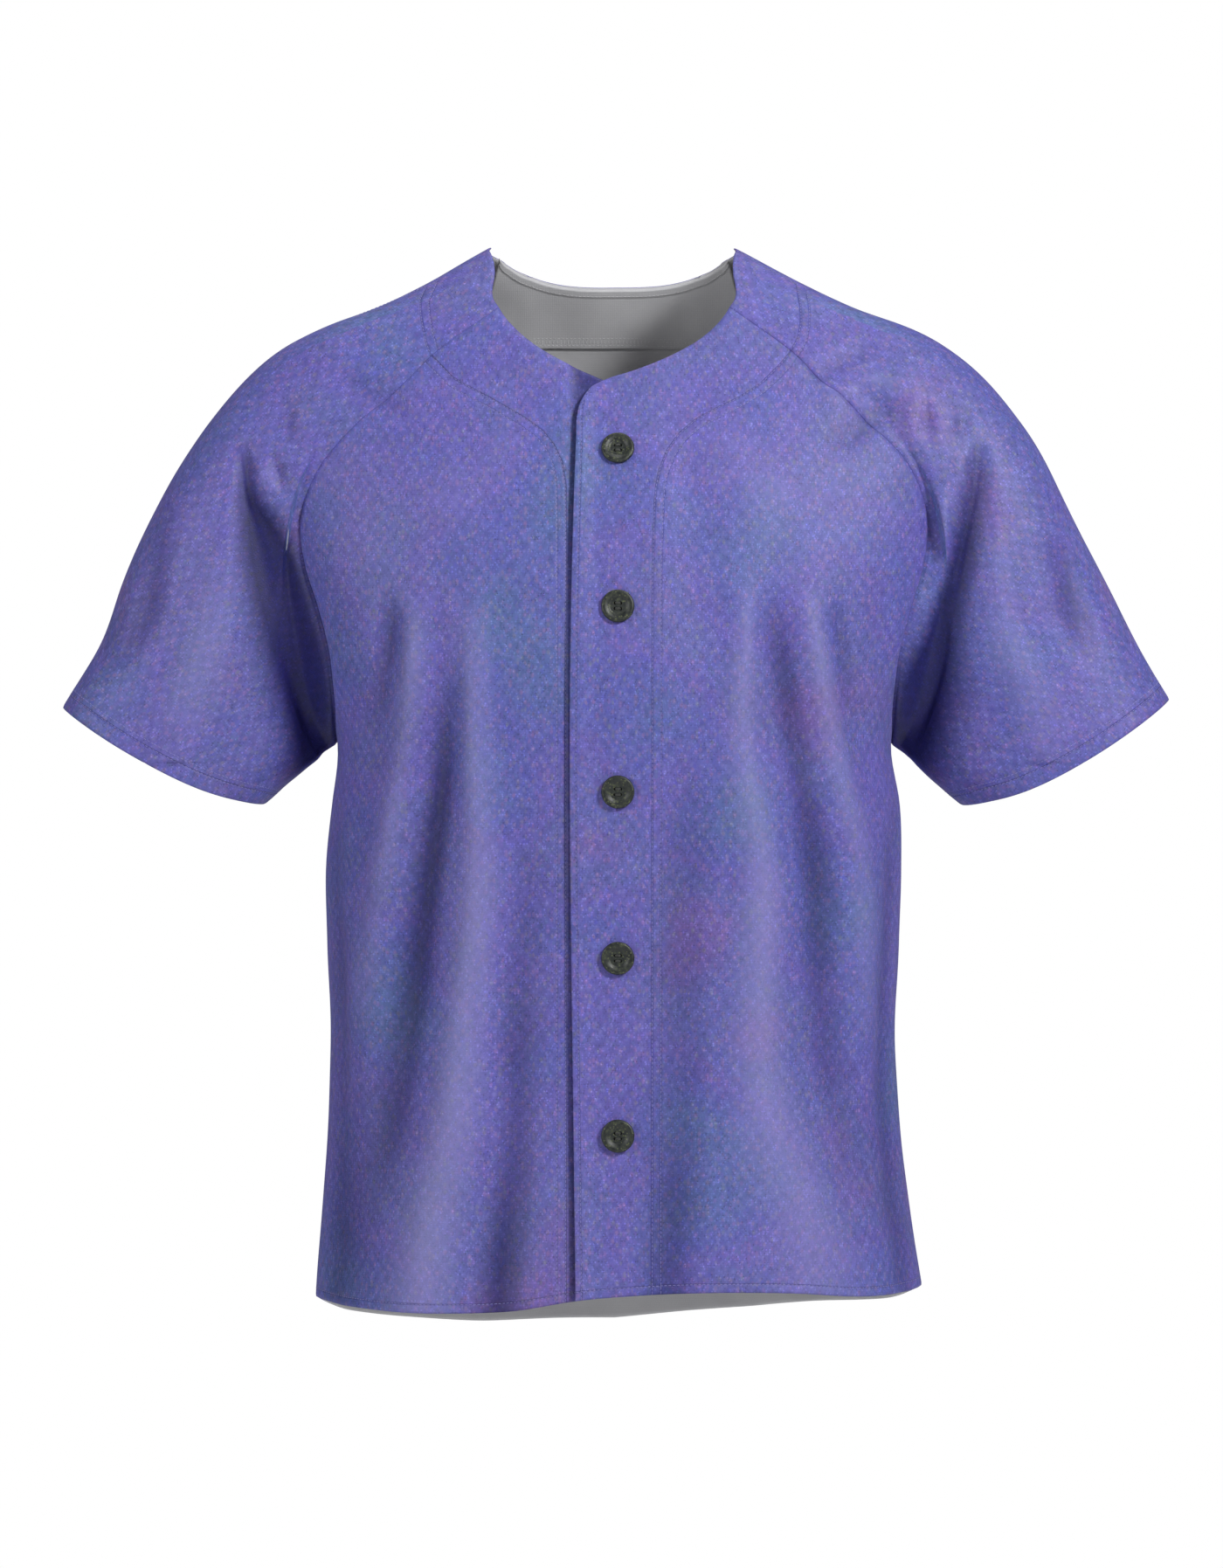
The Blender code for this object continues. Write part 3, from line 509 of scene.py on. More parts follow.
class Nodes:
    # short ways to add and join a material's nodes
    def __init__(self, name, roughness):
        self.material = bpy.data.materials.new(name)
        self.material.use_nodes = True
        self.tree = self.material.node_tree
        self.shader = self.tree.nodes["Principled BSDF"]
        self.shader.inputs["Roughness"].default_value = roughness

    def add(self, kind, inputs=(), **settings):
        made = self.tree.nodes.new(kind)
        for key, value in settings.items():
            setattr(made, key, value)
        for key, value in dict(inputs).items():
            self.put(made.inputs[key], value)
        return made

    def put(self, socket, value):
        if isinstance(value, bpy.types.NodeSocket):
            self.tree.links.new(value, socket)
        else:
            socket.default_value = value

    def sum(self, operation, first, second=0.0, third=0.0):
        return self.add("ShaderNodeMath", {0: first, 1: second, 2: third}, operation=operation).outputs[0]

    def ramp(self, factor, stops, smooth=True):
        made = self.add("ShaderNodeValToRGB", {0: factor})
        made.color_ramp.interpolation = "EASE" if smooth else "LINEAR"
        while len(made.color_ramp.elements) < len(stops):
            made.color_ramp.elements.new(0.5)
        for element, (place, colour) in zip(made.color_ramp.elements, stops):
            element.position = place
            element.color = colour
        return made.outputs[0]

    def mix(self, factor, first, second, blend="MIX"):
        made = self.add("ShaderNodeMix", data_type="RGBA", blend_type=blend)
        self.put(made.inputs[0], factor)
        self.put(made.inputs[6], first)
        self.put(made.inputs[7], second)
        return made.outputs[2]

    def mapped(self, coordinate, scale, shift=(0, 0, 0)):
        made = self.add("ShaderNodeMapping", {"Vector": coordinate})
        made.inputs["Scale"].default_value = scale
        made.inputs["Location"].default_value = shift
        return made.outputs[0]


def grey(value):
    return (value, value, value, 1.0)


printed = {
    "speckleWide": 1.3 * mm,
    "speckleHigh": 1.55 * mm,
    "tintWide": 2.6 * mm,
    "tintHigh": 3.4 * mm,
    "figureWide": 11 * mm,
    "figureHigh": 15.2 * mm,
    "blotch": 8.0,  # broad patches to the metre
    # painted shade colour, multiplied in deep in the folds
    "paintedFoldShade": (0.1, 0.1, 0.26, 1),
    # painted highlight colour, mixed in along the fold ridges
    "paintedRidgeHighlight": tone(150, 148, 196),
    "roughness": 0.52,
    "sheen": 0.15,
    "clouds": [
        (0.3, tone(84, 102, 158)), (0.43, tone(88, 92, 166)), (0.5, tone(97, 91, 168)),
        (0.58, tone(92, 95, 164)), (0.7, tone(109, 92, 162)),
    ],
    "tints": [
        (0.0, tone(96, 116, 150)), (0.22, tone(84, 80, 190)), (0.42, tone(134, 132, 196)),
        (0.6, tone(110, 92, 184)), (0.78, tone(160, 116, 170)), (1.0, tone(128, 134, 128)),
    ],
}


def printedCloth():
    # speckles on a staggered grid, tinted at random, over a small repeating figure and broad soft patches, with
    # painted shade in the folds and painted highlight along the ridges
    n = Nodes("printedCloth", printed["roughness"])
    uv = n.add("ShaderNodeUVMap", uv_map="clothUv").outputs[0]
    wide = {"Vector": uv, "Scale": printed["blotch"], "Detail": 1.5, "Roughness": 0.5}
    clouds = n.add("ShaderNodeTexNoise", wide)
    colour = n.ramp(clouds.outputs["Fac"], printed["clouds"])
    patch = n.add("ShaderNodeTexNoise", {"Vector": uv, "Scale": 62.0, "Detail": 2.0, "Roughness": 0.6})
    shading = n.ramp(patch.outputs["Fac"], [(0.3, grey(0.86)), (0.7, grey(1.1))])
    colour = n.mix(0.55, colour, shading, "MULTIPLY")
    # tints, one to each larger cell
    place = n.mapped(uv, (1 / printed["tintWide"], 1 / printed["tintHigh"], 1))
    cells = n.add("ShaderNodeTexVoronoi", {"Vector": place, "Scale": 1.0, "Randomness": 0.8})
    pick = n.add("ShaderNodeSeparateColor", {0: cells.outputs["Color"]})
    tint = n.ramp(pick.outputs[0], printed["tints"], False)
    core = n.sum("SUBTRACT", 1.0, n.sum("MULTIPLY", cells.outputs["Distance"], 1.25))
    colour = n.mix(n.sum("MULTIPLY", n.sum("MAXIMUM", core, 0.0), 0.5), colour, tint)
    # light and dark speckles
    place = n.mapped(uv, (1 / printed["speckleWide"], 1 / printed["speckleHigh"], 1))
    dots = n.add("ShaderNodeTexVoronoi", {"Vector": place, "Scale": 1.0, "Randomness": 0.8})
    level = n.add("ShaderNodeSeparateColor", {0: dots.outputs["Color"]})
    levels = [(0.0, grey(0.42)), (0.35, grey(0.82)), (0.62, grey(1.06)), (1.0, grey(1.75))]
    shade = n.ramp(level.outputs[1], levels, False)
    near = n.sum("SMOOTH_MIN", n.sum("MULTIPLY", dots.outputs["Distance"], 1.5), 1.0, 0.2)
    shade = n.mix(near, shade, grey(0.9))
    colour = n.mix(1.0, colour, shade, "MULTIPLY")
    # the small figure that repeats every 11 by 15 mm
    across = n.add("ShaderNodeSeparateXYZ", {0: uv})
    waveU = n.sum("COSINE", n.sum("MULTIPLY", across.outputs[0], 2 * math.pi / printed["figureWide"]))
    waveV = n.sum("COSINE", n.sum("MULTIPLY", across.outputs[1], 2 * math.pi / printed["figureHigh"]))
    figure = n.sum("MULTIPLY_ADD", n.sum("MULTIPLY", waveU, waveV), 0.09, 1.0)
    figured = n.add("ShaderNodeCombineColor", {0: figure, 1: figure, 2: figure}).outputs[0]
    colour = n.mix(1.0, colour, figured, "MULTIPLY")
    # painted shade darkens the print deep in the folds, and painted highlight lightens it along the ridges
    fold = n.add("ShaderNodeAttribute", attribute_name="foldDepth", attribute_type="GEOMETRY").outputs["Fac"]
    low = n.add("ShaderNodeMapRange", {"Value": fold, "From Min": -0.5, "From Max": -9.5}).outputs[0]
    high = n.add("ShaderNodeMapRange", {"Value": fold, "From Min": 0.5, "From Max": 8.0}).outputs[0]
    colour = n.mix(low, colour, n.mix(1.0, colour, printed["paintedFoldShade"], "MULTIPLY"))
    colour = n.mix(n.sum("MULTIPLY", high, 0.4), colour, printed["paintedRidgeHighlight"])
    colour, relief = seamMarks(n, colour)
    weave = n.mapped(uv, (1 / (0.9 * mm), 1 / (0.9 * mm), 1))
    grain = n.add("ShaderNodeTexNoise", {"Vector": weave, "Scale": 1.0, "Detail": 1.0, "Roughness": 0.5})
    height = n.sum("MULTIPLY_ADD", grain.outputs["Fac"], 0.16, relief)
    bump = n.add("ShaderNodeBump", {"Height": height, "Strength": 1.0, "Distance": 1.0 * mm})
    n.put(n.shader.inputs["Base Color"], colour)
    n.put(n.shader.inputs["Normal"], bump.outputs[0])
    n.shader.inputs["Sheen Weight"].default_value = printed["sheen"]
    n.shader.inputs["Sheen Roughness"].default_value = 0.45
    n.shader.inputs["Sheen Tint"].default_value = tone(176, 176, 226)
    n.shader.inputs["Specular IOR Level"].default_value = 0.32
    return n.material


def groove(n, distance, place, width):
    # exp(-((distance - place) / width)^2)
    off = n.sum("DIVIDE", n.sum("SUBTRACT", distance, place), width)
    return n.sum("POWER", math.e, n.sum("MULTIPLY", n.sum("MULTIPLY", off, off), -1.0))


seams = {"twin": 6.0, "hemRow": 6.0, "cuffRow": 11.0, "edgeRow": 4.2}


def seamMarks(n, colour):
    # grooves and a low step along the facing's seam, and grooves above the hem or cuff and beside free edges,
    # with painted shade darkening the colour in the grooves
    marks = n.add("ShaderNodeAttribute", attribute_name="seamMap", attribute_type="GEOMETRY")
    read = n.add("ShaderNodeSeparateXYZ", {0: marks.outputs["Vector"]})
    placket, hemAway, line = read.outputs[0], read.outputs[1], read.outputs[2]
    first, second = groove(n, placket, 0.0, 0.75), groove(n, placket, seams["twin"], 0.6)
    rise = n.sum("MULTIPLY", smoothNode(n, n.sum("MULTIPLY", placket, -1.0), -1.2, 1.2), 0.5)
    rows = n.sum("ADD", groove(n, hemAway, seams["hemRow"], 0.6), groove(n, line, seams["edgeRow"], 0.6))
    cut = n.sum("ADD", n.sum("ADD", first, n.sum("MULTIPLY", second, 0.6)), n.sum("MULTIPLY", rows, 0.8))
    relief = n.sum("SUBTRACT", rise, n.sum("MULTIPLY", cut, 0.55))
    # painted shade: the colour goes towards dark navy as deep as the grooves are cut
    dark = n.mix(n.sum("MINIMUM", n.sum("MULTIPLY", cut, 0.42), 0.6), colour, tone(44, 42, 104))
    return dark, relief


def smoothNode(n, value, low, high):
    limits = {"Value": value, "From Min": low, "From Max": high}
    return n.add("ShaderNodeMapRange", limits, interpolation_type="SMOOTHSTEP").outputs[0]


plain = {"colour": tone(206, 206, 208), "dark": tone(184, 184, 188), "roughness": 0.8, "rib": 1.05 * mm}


def plainCloth(name, uvMap):
    # the unprinted side of the cloth: fine ribs and a faint cloudiness
    n = Nodes(name, plain["roughness"])
    uv = n.add("ShaderNodeUVMap", uv_map=uvMap).outputs[0]
    clouds = n.add("ShaderNodeTexNoise", {"Vector": uv, "Scale": 40.0, "Detail": 3.0})
    colour = n.mix(clouds.outputs["Fac"], plain["colour"], plain["dark"])
    place = n.mapped(uv, (1 / plain["rib"], 1 / (1.5 * plain["rib"]), 1))
    loops = n.add("ShaderNodeTexVoronoi", {"Vector": place, "Scale": 1.0, "Randomness": 0.2})
    colour = n.mix(n.sum("MULTIPLY", loops.outputs["Distance"], 0.22), colour, tone(120, 120, 126))
    relief = {"Height": loops.outputs["Distance"], "Strength": 0.5, "Distance": 0.3 * mm}
    bump = n.add("ShaderNodeBump", relief)
    n.put(n.shader.inputs["Base Color"], colour)
    n.put(n.shader.inputs["Normal"], bump.outputs[0])
    n.shader.inputs["Sheen Weight"].default_value = 0.15
    return n.material


def threadMaterial(name, light, dark, scale):
    n = Nodes(name, 0.45)
    place = n.add("ShaderNodeTexCoord").outputs["Object"]
    noise = n.add("ShaderNodeTexNoise", {"Vector": place, "Scale": scale, "Detail": 1.0})
    n.put(n.shader.inputs["Base Color"], n.mix(noise.outputs["Fac"], light, dark))
    n.shader.inputs["Sheen Weight"].default_value = 0.2
    return n.material


def buttonMaterial():
    # black-green plastic with fine gold-green flecks
    n = Nodes("buttonPlastic", 0.42)
    place = n.add("ShaderNodeTexCoord").outputs["Object"]
    cloud = n.add("ShaderNodeTexNoise", {"Vector": place, "Scale": 420.0, "Detail": 3.0, "Roughness": 0.6})
    tones = [(0.35, tone(20, 25, 25)), (0.5, tone(32, 37, 35)), (0.7, tone(58, 64, 46))]
    colour = n.ramp(cloud.outputs["Fac"], tones)
    flecks = n.add("ShaderNodeTexVoronoi", {"Vector": place, "Scale": 780.0, "Randomness": 1.0})
    pick = n.add("ShaderNodeSeparateColor", {0: flecks.outputs["Color"]})
    rare = n.sum("GREATER_THAN", pick.outputs[0], 0.78)
    near = n.sum("LESS_THAN", flecks.outputs["Distance"], 0.42)
    fleck = n.sum("MULTIPLY", rare, near)
    colour = n.mix(n.sum("MULTIPLY", fleck, 0.5), colour, tone(104, 110, 76))
    bump = n.add("ShaderNodeBump", {"Height": cloud.outputs["Fac"], "Strength": 0.25, "Distance": 0.1 * mm})
    n.put(n.shader.inputs["Base Color"], colour)
    n.put(n.shader.inputs["Normal"], bump.outputs[0])
    n.put(n.shader.inputs["Roughness"], n.sum("MULTIPLY_ADD", cloud.outputs["Fac"], 0.3, 0.32))
    return n.material


printedFinish = printedCloth()
plainFinish = plainCloth("plainInside", "clothUv")
facingFinish = plainCloth("facingCloth", "clothUv")
threadFinish = threadMaterial("violetThread", tone(138, 136, 192), tone(96, 92, 164), 900.0)
greyThread = threadMaterial("greyThread", tone(222, 222, 224), tone(176, 176, 180), 900.0)
darkThread = threadMaterial("buttonThread", tone(66, 68, 64), tone(24, 26, 26), 1500.0)
buttonFinish = buttonMaterial()
print("materials ready")


# stitching

thread = {"pitch": 2.9, "length": 2.3, "radius": 0.2, "sunk": 0.08, "sides": 6}


def evenPath(points, normals, pitch):
    # the same path with its points one pitch apart
    length = lengthAlong(points, 0)
    count = max(int(length[-1] / pitch), 2)
    wanted = (np.arange(count) + 0.5) * length[-1] / count
    place = np.stack([np.interp(wanted, length, points[:, k]) for k in range(3)], -1)
    up = unit(np.stack([np.interp(wanted, length, normals[:, k]) for k in range(3)], -1))
    ahead = np.stack([np.interp(wanted + 0.5, length, points[:, k]) for k in range(3)], -1)
    return place, up, unit(ahead - place + 1e-9)


def bead():
    # one stitch: a round bar whose radius falls as sqrt(1 - s^4) towards both ends, sunk at the ends
    s = np.array([-1.0, -0.72, 0.0, 0.72, 1.0])
    around = np.linspace(0, 2 * math.pi, thread["sides"], endpoint=False)
    radius = thread["radius"] * np.array([0.3, 0.85, 1.0, 0.85, 0.3])
    x = np.repeat(s * thread["length"] / 2, thread["sides"])
    y = (radius[:, None] * np.cos(around)).ravel() * 1.15
    z = (radius[:, None] * np.sin(around) - 0.22 * (s**4)[:, None]).ravel()
    quads = wrappedQuads(len(s), thread["sides"])
    caps = np.array([[0, 5, 4, 3], [0, 3, 2, 1], [24, 25, 26, 27], [24, 27, 28, 29]])
    return np.stack([x, y, z], -1), np.concatenate([quads[:, ::-1], caps[:, ::-1]])


def stitching(name, rows, material):
    # every stitch is the bead turned to the path: place + x along + y across + z up
    shape, faces = bead()
    place, up, along = (np.concatenate(part) for part in zip(*rows))
    across = unit(np.cross(up, along))
    along = np.cross(across, up)
    axes = np.stack([along, across, up], 1)
    vertices = place[:, None] + shape @ axes + (up * (thread["radius"] * 0.5 - thread["sunk"]))[:, None]
    shift = np.arange(len(place))[:, None, None] * len(shape)
    mesh = makeMesh(name, vertices.reshape(-1, 3), (faces[None] + shift).reshape(-1, 4))
    item = makeObject(name, mesh, [material])
    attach(item, "root")
    return item


def crossingPath(points, normals, field, level):
    # where a field first passes the level on each row of a grid, in the order of the rows
    over = field > level
    change = over[:, 1:] != over[:, :-1]
    rows = np.nonzero(change.any(axis=1))[0]
    at = np.argmax(change[rows], axis=1)
    low, high = field[rows, at], field[rows, at + 1]
    share = ((level - low) / (high - low))[:, None]
    place = points[rows, at] + share * (points[rows, at + 1] - points[rows, at])
    return place, normals[rows, at]


def stitchRow(points, normals, field, level):
    return evenPath(*crossingPath(points, normals, field, level), thread["pitch"])


# body panels

front = {
    "placketHalf": 26.0,
    "overlapLift": 2.0,
    "edgeLift": 2.4,
    "liftFade": 34.0,
    "edgeFade": 16.0,
    "underDip": 1.8,
    "edgeMiddle": -366.0,
    "neckUpper": table(
        "x height",
        [(80, -44), (70, -58), (54, -71), (34, -82), (14, -90), (-3, -95.5), (-14, -101), (-19, -106.5)],
    ),
    "edgeUpper": table("x height", [(-19, -106.5), (-23, -114), (-25.4, -124), (-26, -138), (-26, -800)]),
    "neckLower": table(
        "x height", [(80, -44), (68, -60), (38, -82), (10, -94.5), (-6, -102), (-16, -109), (-21, -116)]
    ),
    "edgeLower": table("x height", [(-21, -116), (-24.4, -125), (-26, -138), (-26, -150), (-26, -800)]),
    # the facing's inner edge, stitched through to the outside
    "seamLeft": table(
        "x height",
        [
            (26, -820), (26, -420), (26.2, -228), (27.6, -185), (28.6, -172), (31, -160), (36.5, -146),
            (45, -134), (56, -124.5), (73, -115), (86.5, -108.6), (100.5, -99.5), (114, -86), (121.5, -77),
            (127.5, -66), (129.6, -55), (129.6, -44), (127.5, -27), (124, -10),
        ],
    ),
    "seamRight": table(
        "x height",
        [
            (-124, -10), (-135, -38), (-134, -50), (-131, -66), (-127, -78), (-111, -95), (-98, -102.5),
            (-86, -108.6), (-62, -123), (-49, -132.5), (-41, -143), (-36, -154), (-33.4, -170),
            (-33, -200), (-33, -820),
        ],
    ),
}


def frontGrid(neck, edge, side):
    # from the free edge past the centre to the side and raglan seams
    shares = crowded(cloth["frontColumns"])
    start = angleOf(np.array(-front["placketHalf"]), np.array(-724.0))
    angles = start + (math.pi / 2 - start) * shares
    bottom = np.stack([angles, hemHeight(side * angles)], -1)
    top = spread(seamLine(neck)[::-1], shares)
    outer = np.concatenate([sideSeam(side) * (side, 1), raglanSeam(False)[1:]])
    low = bottom[0, 1] + (front["edgeMiddle"] - bottom[0, 1]) * halfCrowded(cloth["rowsBelowArm"])
    rise = 1 - halfCrowded(cloth["rowsAboveArm"])[::-1]
    high = front["edgeMiddle"] + (edge["height"][0] - front["edgeMiddle"]) * rise
    heights = np.concatenate([low, high[1:]])
    inner = np.stack([angleOf(spline(edge["height"], edge["x"], heights), heights), heights], -1)
    inner[-1], outer[-1] = top[0], top[-1]
    return coons(bottom, top, inner, outer, shares) * (side, 1)


def upperLift(x):
    # the wearer's left front lies over the right one, and its edge stands a little further off
    over = smoothStep(-(front["placketHalf"] + front["liftFade"]), -front["placketHalf"], -x)
    edge = smoothStep(front["placketHalf"] - front["edgeFade"], front["placketHalf"], -x)
    return front["overlapLift"] * over + front["edgeLift"] * edge


def lowerDip(x):
    return -front["underDip"] * smoothStep(-front["placketHalf"] - 9, -front["placketHalf"] + 2, x)


def pinch(distance):
    # depth * exp(-(distance / width)^2), towards the body at a seam
    return -cloth["seamPinch"] * np.exp(-((distance / cloth["seamWidth"]) ** 2))


def awayFromSeam(edge, normals, towards):
    # moves a sewn edge square to itself by half the seam gap
    across = unit(np.cross(np.gradient(edge, axis=0), normals))
    across *= np.sign(np.sum(across * (towards - edge), axis=1, keepdims=True))
    return edge + across * cloth["seamGap"] / 2


def flatAcross(points, start):
    # width of the cloth as cut: the running level length of each row, from a given start
    steps = np.linalg.norm(np.diff(points[..., :2], axis=1), axis=-1)
    return np.concatenate([np.zeros((len(points), 1)), np.cumsum(steps, axis=1)], axis=1) + start[:, None]


def buildFront(name, node, side, neck, edge, lift, seam):
    grid = frontGrid(neck, edge, side)
    base, normal = bodyPoint(grid[..., 0], grid[..., 1]), bodyNormal(grid[..., 0], grid[..., 1])
    across, up = lengthAlong(base, 1), lengthAlong(base, 0)
    toSeam = fromEnd(across, 1)
    amount = bodyFolds(base, normal) + lift(base[..., 0]) + pinch(toSeam)
    points = base + normal * amount[..., None]
    directions = gridNormals(points) * side
    directions[:, -1] = normal[:, -1]
    points[:, -1] = awayFromSeam(points[:, -1], normal[:, -1], points[:, -2])
    placket = lineDistance(points[..., 0], points[..., 2], seam)
    free = np.minimum(np.minimum(across, up), fromEnd(up, 0))
    # fold depth for the painted shade and highlight; where the lower front dips under the overlapping edge it
    # is deepened four times the dip, as painted shadow of that edge
    fold = bodyFolds(base, normal) + 4 * np.minimum(lift(base[..., 0]), 0)
    distances = {"free": free, "placket": placket, "hem": up, "line": across, "fold": fold}
    uv = np.stack([flatAcross(base, side * base[:, 0, 0]) * side, base[..., 2]], -1)
    item = panelMesh(name, points, directions, distances, uv, False, side < 0, [printedFinish, plainFinish])
    sewing = [stitchRow(points, directions, across, seams["edgeRow"])] if side > 0 else []
    top = np.swapaxes(points, 0, 1), np.swapaxes(directions, 0, 1)
    sewing.append(stitchRow(*top, np.swapaxes(up, 0, 1), seams["hemRow"]))
    sewing.append(stitchRow(points, directions, placket, 0.0))
    sewing.append(stitchRow(points, directions, placket, seams["twin"]))
    sewn = stitching(name + "Stitches", sewing, threadFinish)
    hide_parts(node)
    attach(item, "root")
    print(f"{name} ready")
    return item, points, directions


def backGrid():
    shares = crowded(cloth["backColumns"])
    angles = math.pi / 2 + math.pi * shares
    wrapped = np.where(angles > math.pi, angles - 2 * math.pi, angles)
    bottom = np.stack([angles, hemHeight(wrapped)], -1)
    left = np.concatenate([sideSeam(1), raglanSeam(True)[1:]])
    right = np.concatenate([sideSeam(-1), raglanSeam(True)[1:] * (-1, 1)]) + (2 * math.pi, 0)
    start = seamLine(backRaglan, True)[0]
    half = seamLine(neckBack, True)
    half = np.concatenate([start[None], half[half[:, 0] > start[0] + 0.02]])
    neck = np.concatenate([half, (half[:-1] * (-1, 1))[::-1] + (2 * math.pi, 0)])
    top = spread(neck, shares)
    left[-1], right[-1] = top[0], top[-1]
    return coons(bottom, top, left, right, shares)


def buildBack():
    grid = backGrid()
    base, normal = bodyPoint(grid[..., 0], grid[..., 1]), bodyNormal(grid[..., 0], grid[..., 1])
    across, up = lengthAlong(base, 1), lengthAlong(base, 0)
    toSeam = np.minimum(across, fromEnd(across, 1))
    points = base + normal * (bodyFolds(base, normal) + pinch(toSeam))[..., None]
    directions = gridNormals(points)
    for column, inside in ((0, 1), (-1, -2)):
        directions[:, column] = normal[:, column]
        points[:, column] = awayFromSeam(points[:, column], normal[:, column], points[:, inside])
    far = np.full_like(up, 90.0)
    fold = bodyFolds(base, normal)
    distances = {"free": np.minimum(up, fromEnd(up, 0)), "placket": far, "hem": up, "line": far, "fold": fold}
    uv = np.stack([flatAcross(base, np.zeros(len(base))) + 1700, base[..., 2]], -1)
    finishes = [printedFinish, plainFinish]
    item = panelMesh("backPanel", points, directions, distances, uv, False, False, finishes)
    top = np.swapaxes(points, 0, 1), np.swapaxes(directions, 0, 1)
    sewing = [stitchRow(*top, np.swapaxes(up, 0, 1), seams["hemRow"])]
    sewing.append(stitchRow(*top, np.swapaxes(fromEnd(up, 0), 0, 1), seams["edgeRow"]))
    sewn = stitching("backPanelStitches", sewing, threadFinish)
    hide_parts("back_panel")
    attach(item, "root")
    print("backPanel ready")


# sleeves

sleeve = {
    "neckRowsFront": 26,
    "neckRowsBack": 20,
    "rows": 116,
    "squareness": 2.2,
    "axis": {1: (0.74, 0.0, -0.673), -1: (-0.74, 0.0, -0.673)},
}
ringColumns = "along topX topZ lowX lowZ front back bow lean skew"
sleeveRings = {
    1: table(
        ringColumns,
        [
            (0.19, 162, -40.5, 203, -353, 64, 76, 46, 0, 0),
            (0.36, 226, -65.5, 208, -357.5, 63, 75, 27, 0, 0),
            (0.56, 285, -124, 213, -363, 62, 72, 20, 0, 0), (0.71, 314, -177, 220, -370, 61, 69, 16, 0, 0),
            (0.86, 347, -240, 229, -378, 59, 64, 13, 0.1, 0),
            (0.93, 367, -280, 236, -384, 58, 62, 11, 0.2, 0.5),
            (1.0, 388.5, -315, 243, -389.5, 56, 60, 10.3, 0.4, 1),
        ],
    ),
    -1: table(
        ringColumns,
        [
            (0.19, 160, -39.5, 203, -353, 64, 76, 46, 0, 0), (0.36, 231, -70, 207, -358, 63, 75, 27, 0, 0),
            (0.56, 279.5, -119, 214, -364, 62, 72, 20, 0, 0),
            (0.71, 313.5, -171, 221, -370, 61, 69, 16, 0, 0),
            (0.86, 344, -235, 231, -378, 59, 64, 13, 0.1, 0),
            (0.93, 360, -278, 238, -384, 58, 62, 10, 0.2, 0.5),
            (1.0, 385, -321, 244.5, -389, 56, 60, 8.5, 0.35, 1),
        ],
    ),
}


def sleeveRoot():
    neckFront = spread(seamLine(neckSide), np.linspace(0, 1, sleeve["neckRowsFront"] + 1))
    frontSeam, backSeam = raglanSeam(False)[::-1], raglanSeam(True)
    start = seamLine(backRaglan, True)[0]
    rim = seamLine(neckBack, True)
    rim = np.concatenate([rim[rim[:, 0] < start[0] - 0.02], start[None]])[::-1]
    back = spread(rim, np.linspace(0, 1, sleeve["neckRowsBack"] + 1))
    return np.concatenate([neckFront[:-1], frontSeam[:-1], backSeam[:-1], back[:-1]])


def sleeveRing(rings, row, shares, halfCount):
    # superellipse from the ring's highest to its lowest point, bowed away from the body as its width squared
    top = np.array([rings["topX"][row], rings["topZ"][row]])
    low = np.array([rings["lowX"][row], rings["lowZ"][row]])
    outward = unit(np.array([top[1] - low[1], low[0] - top[0]]))
    power = sleeve["squareness"]
    turn = np.linspace(0, math.pi, 361)
    size = (np.sin(turn) ** power + np.abs(np.cos(turn)) ** power) ** (1 / power)
    high, wide = np.cos(turn) / size, np.sin(turn) / size
    ring = []
    for depth, skew, part in (
        (-rings["front"][row], rings["skew"][row], shares[:halfCount]),
        (rings["back"][row], -rings["skew"][row], shares[halfCount:]),
    ):
        out = rings["bow"][row] * wide**2 * (1 - rings["lean"][row] * high) + skew * wide
        flat = (top + low) / 2 + high[:, None] * (top - low) / 2 + out[:, None] * outward
        curve = np.stack([flat[:, 0], cloth["middleY"] + depth * wide, flat[:, 1]], -1)
        length = lengthAlong(curve, 0)
        ring.append(np.stack([np.interp(part * length[-1], length, curve[:, k]) for k in range(3)], -1))
    return np.concatenate(ring)


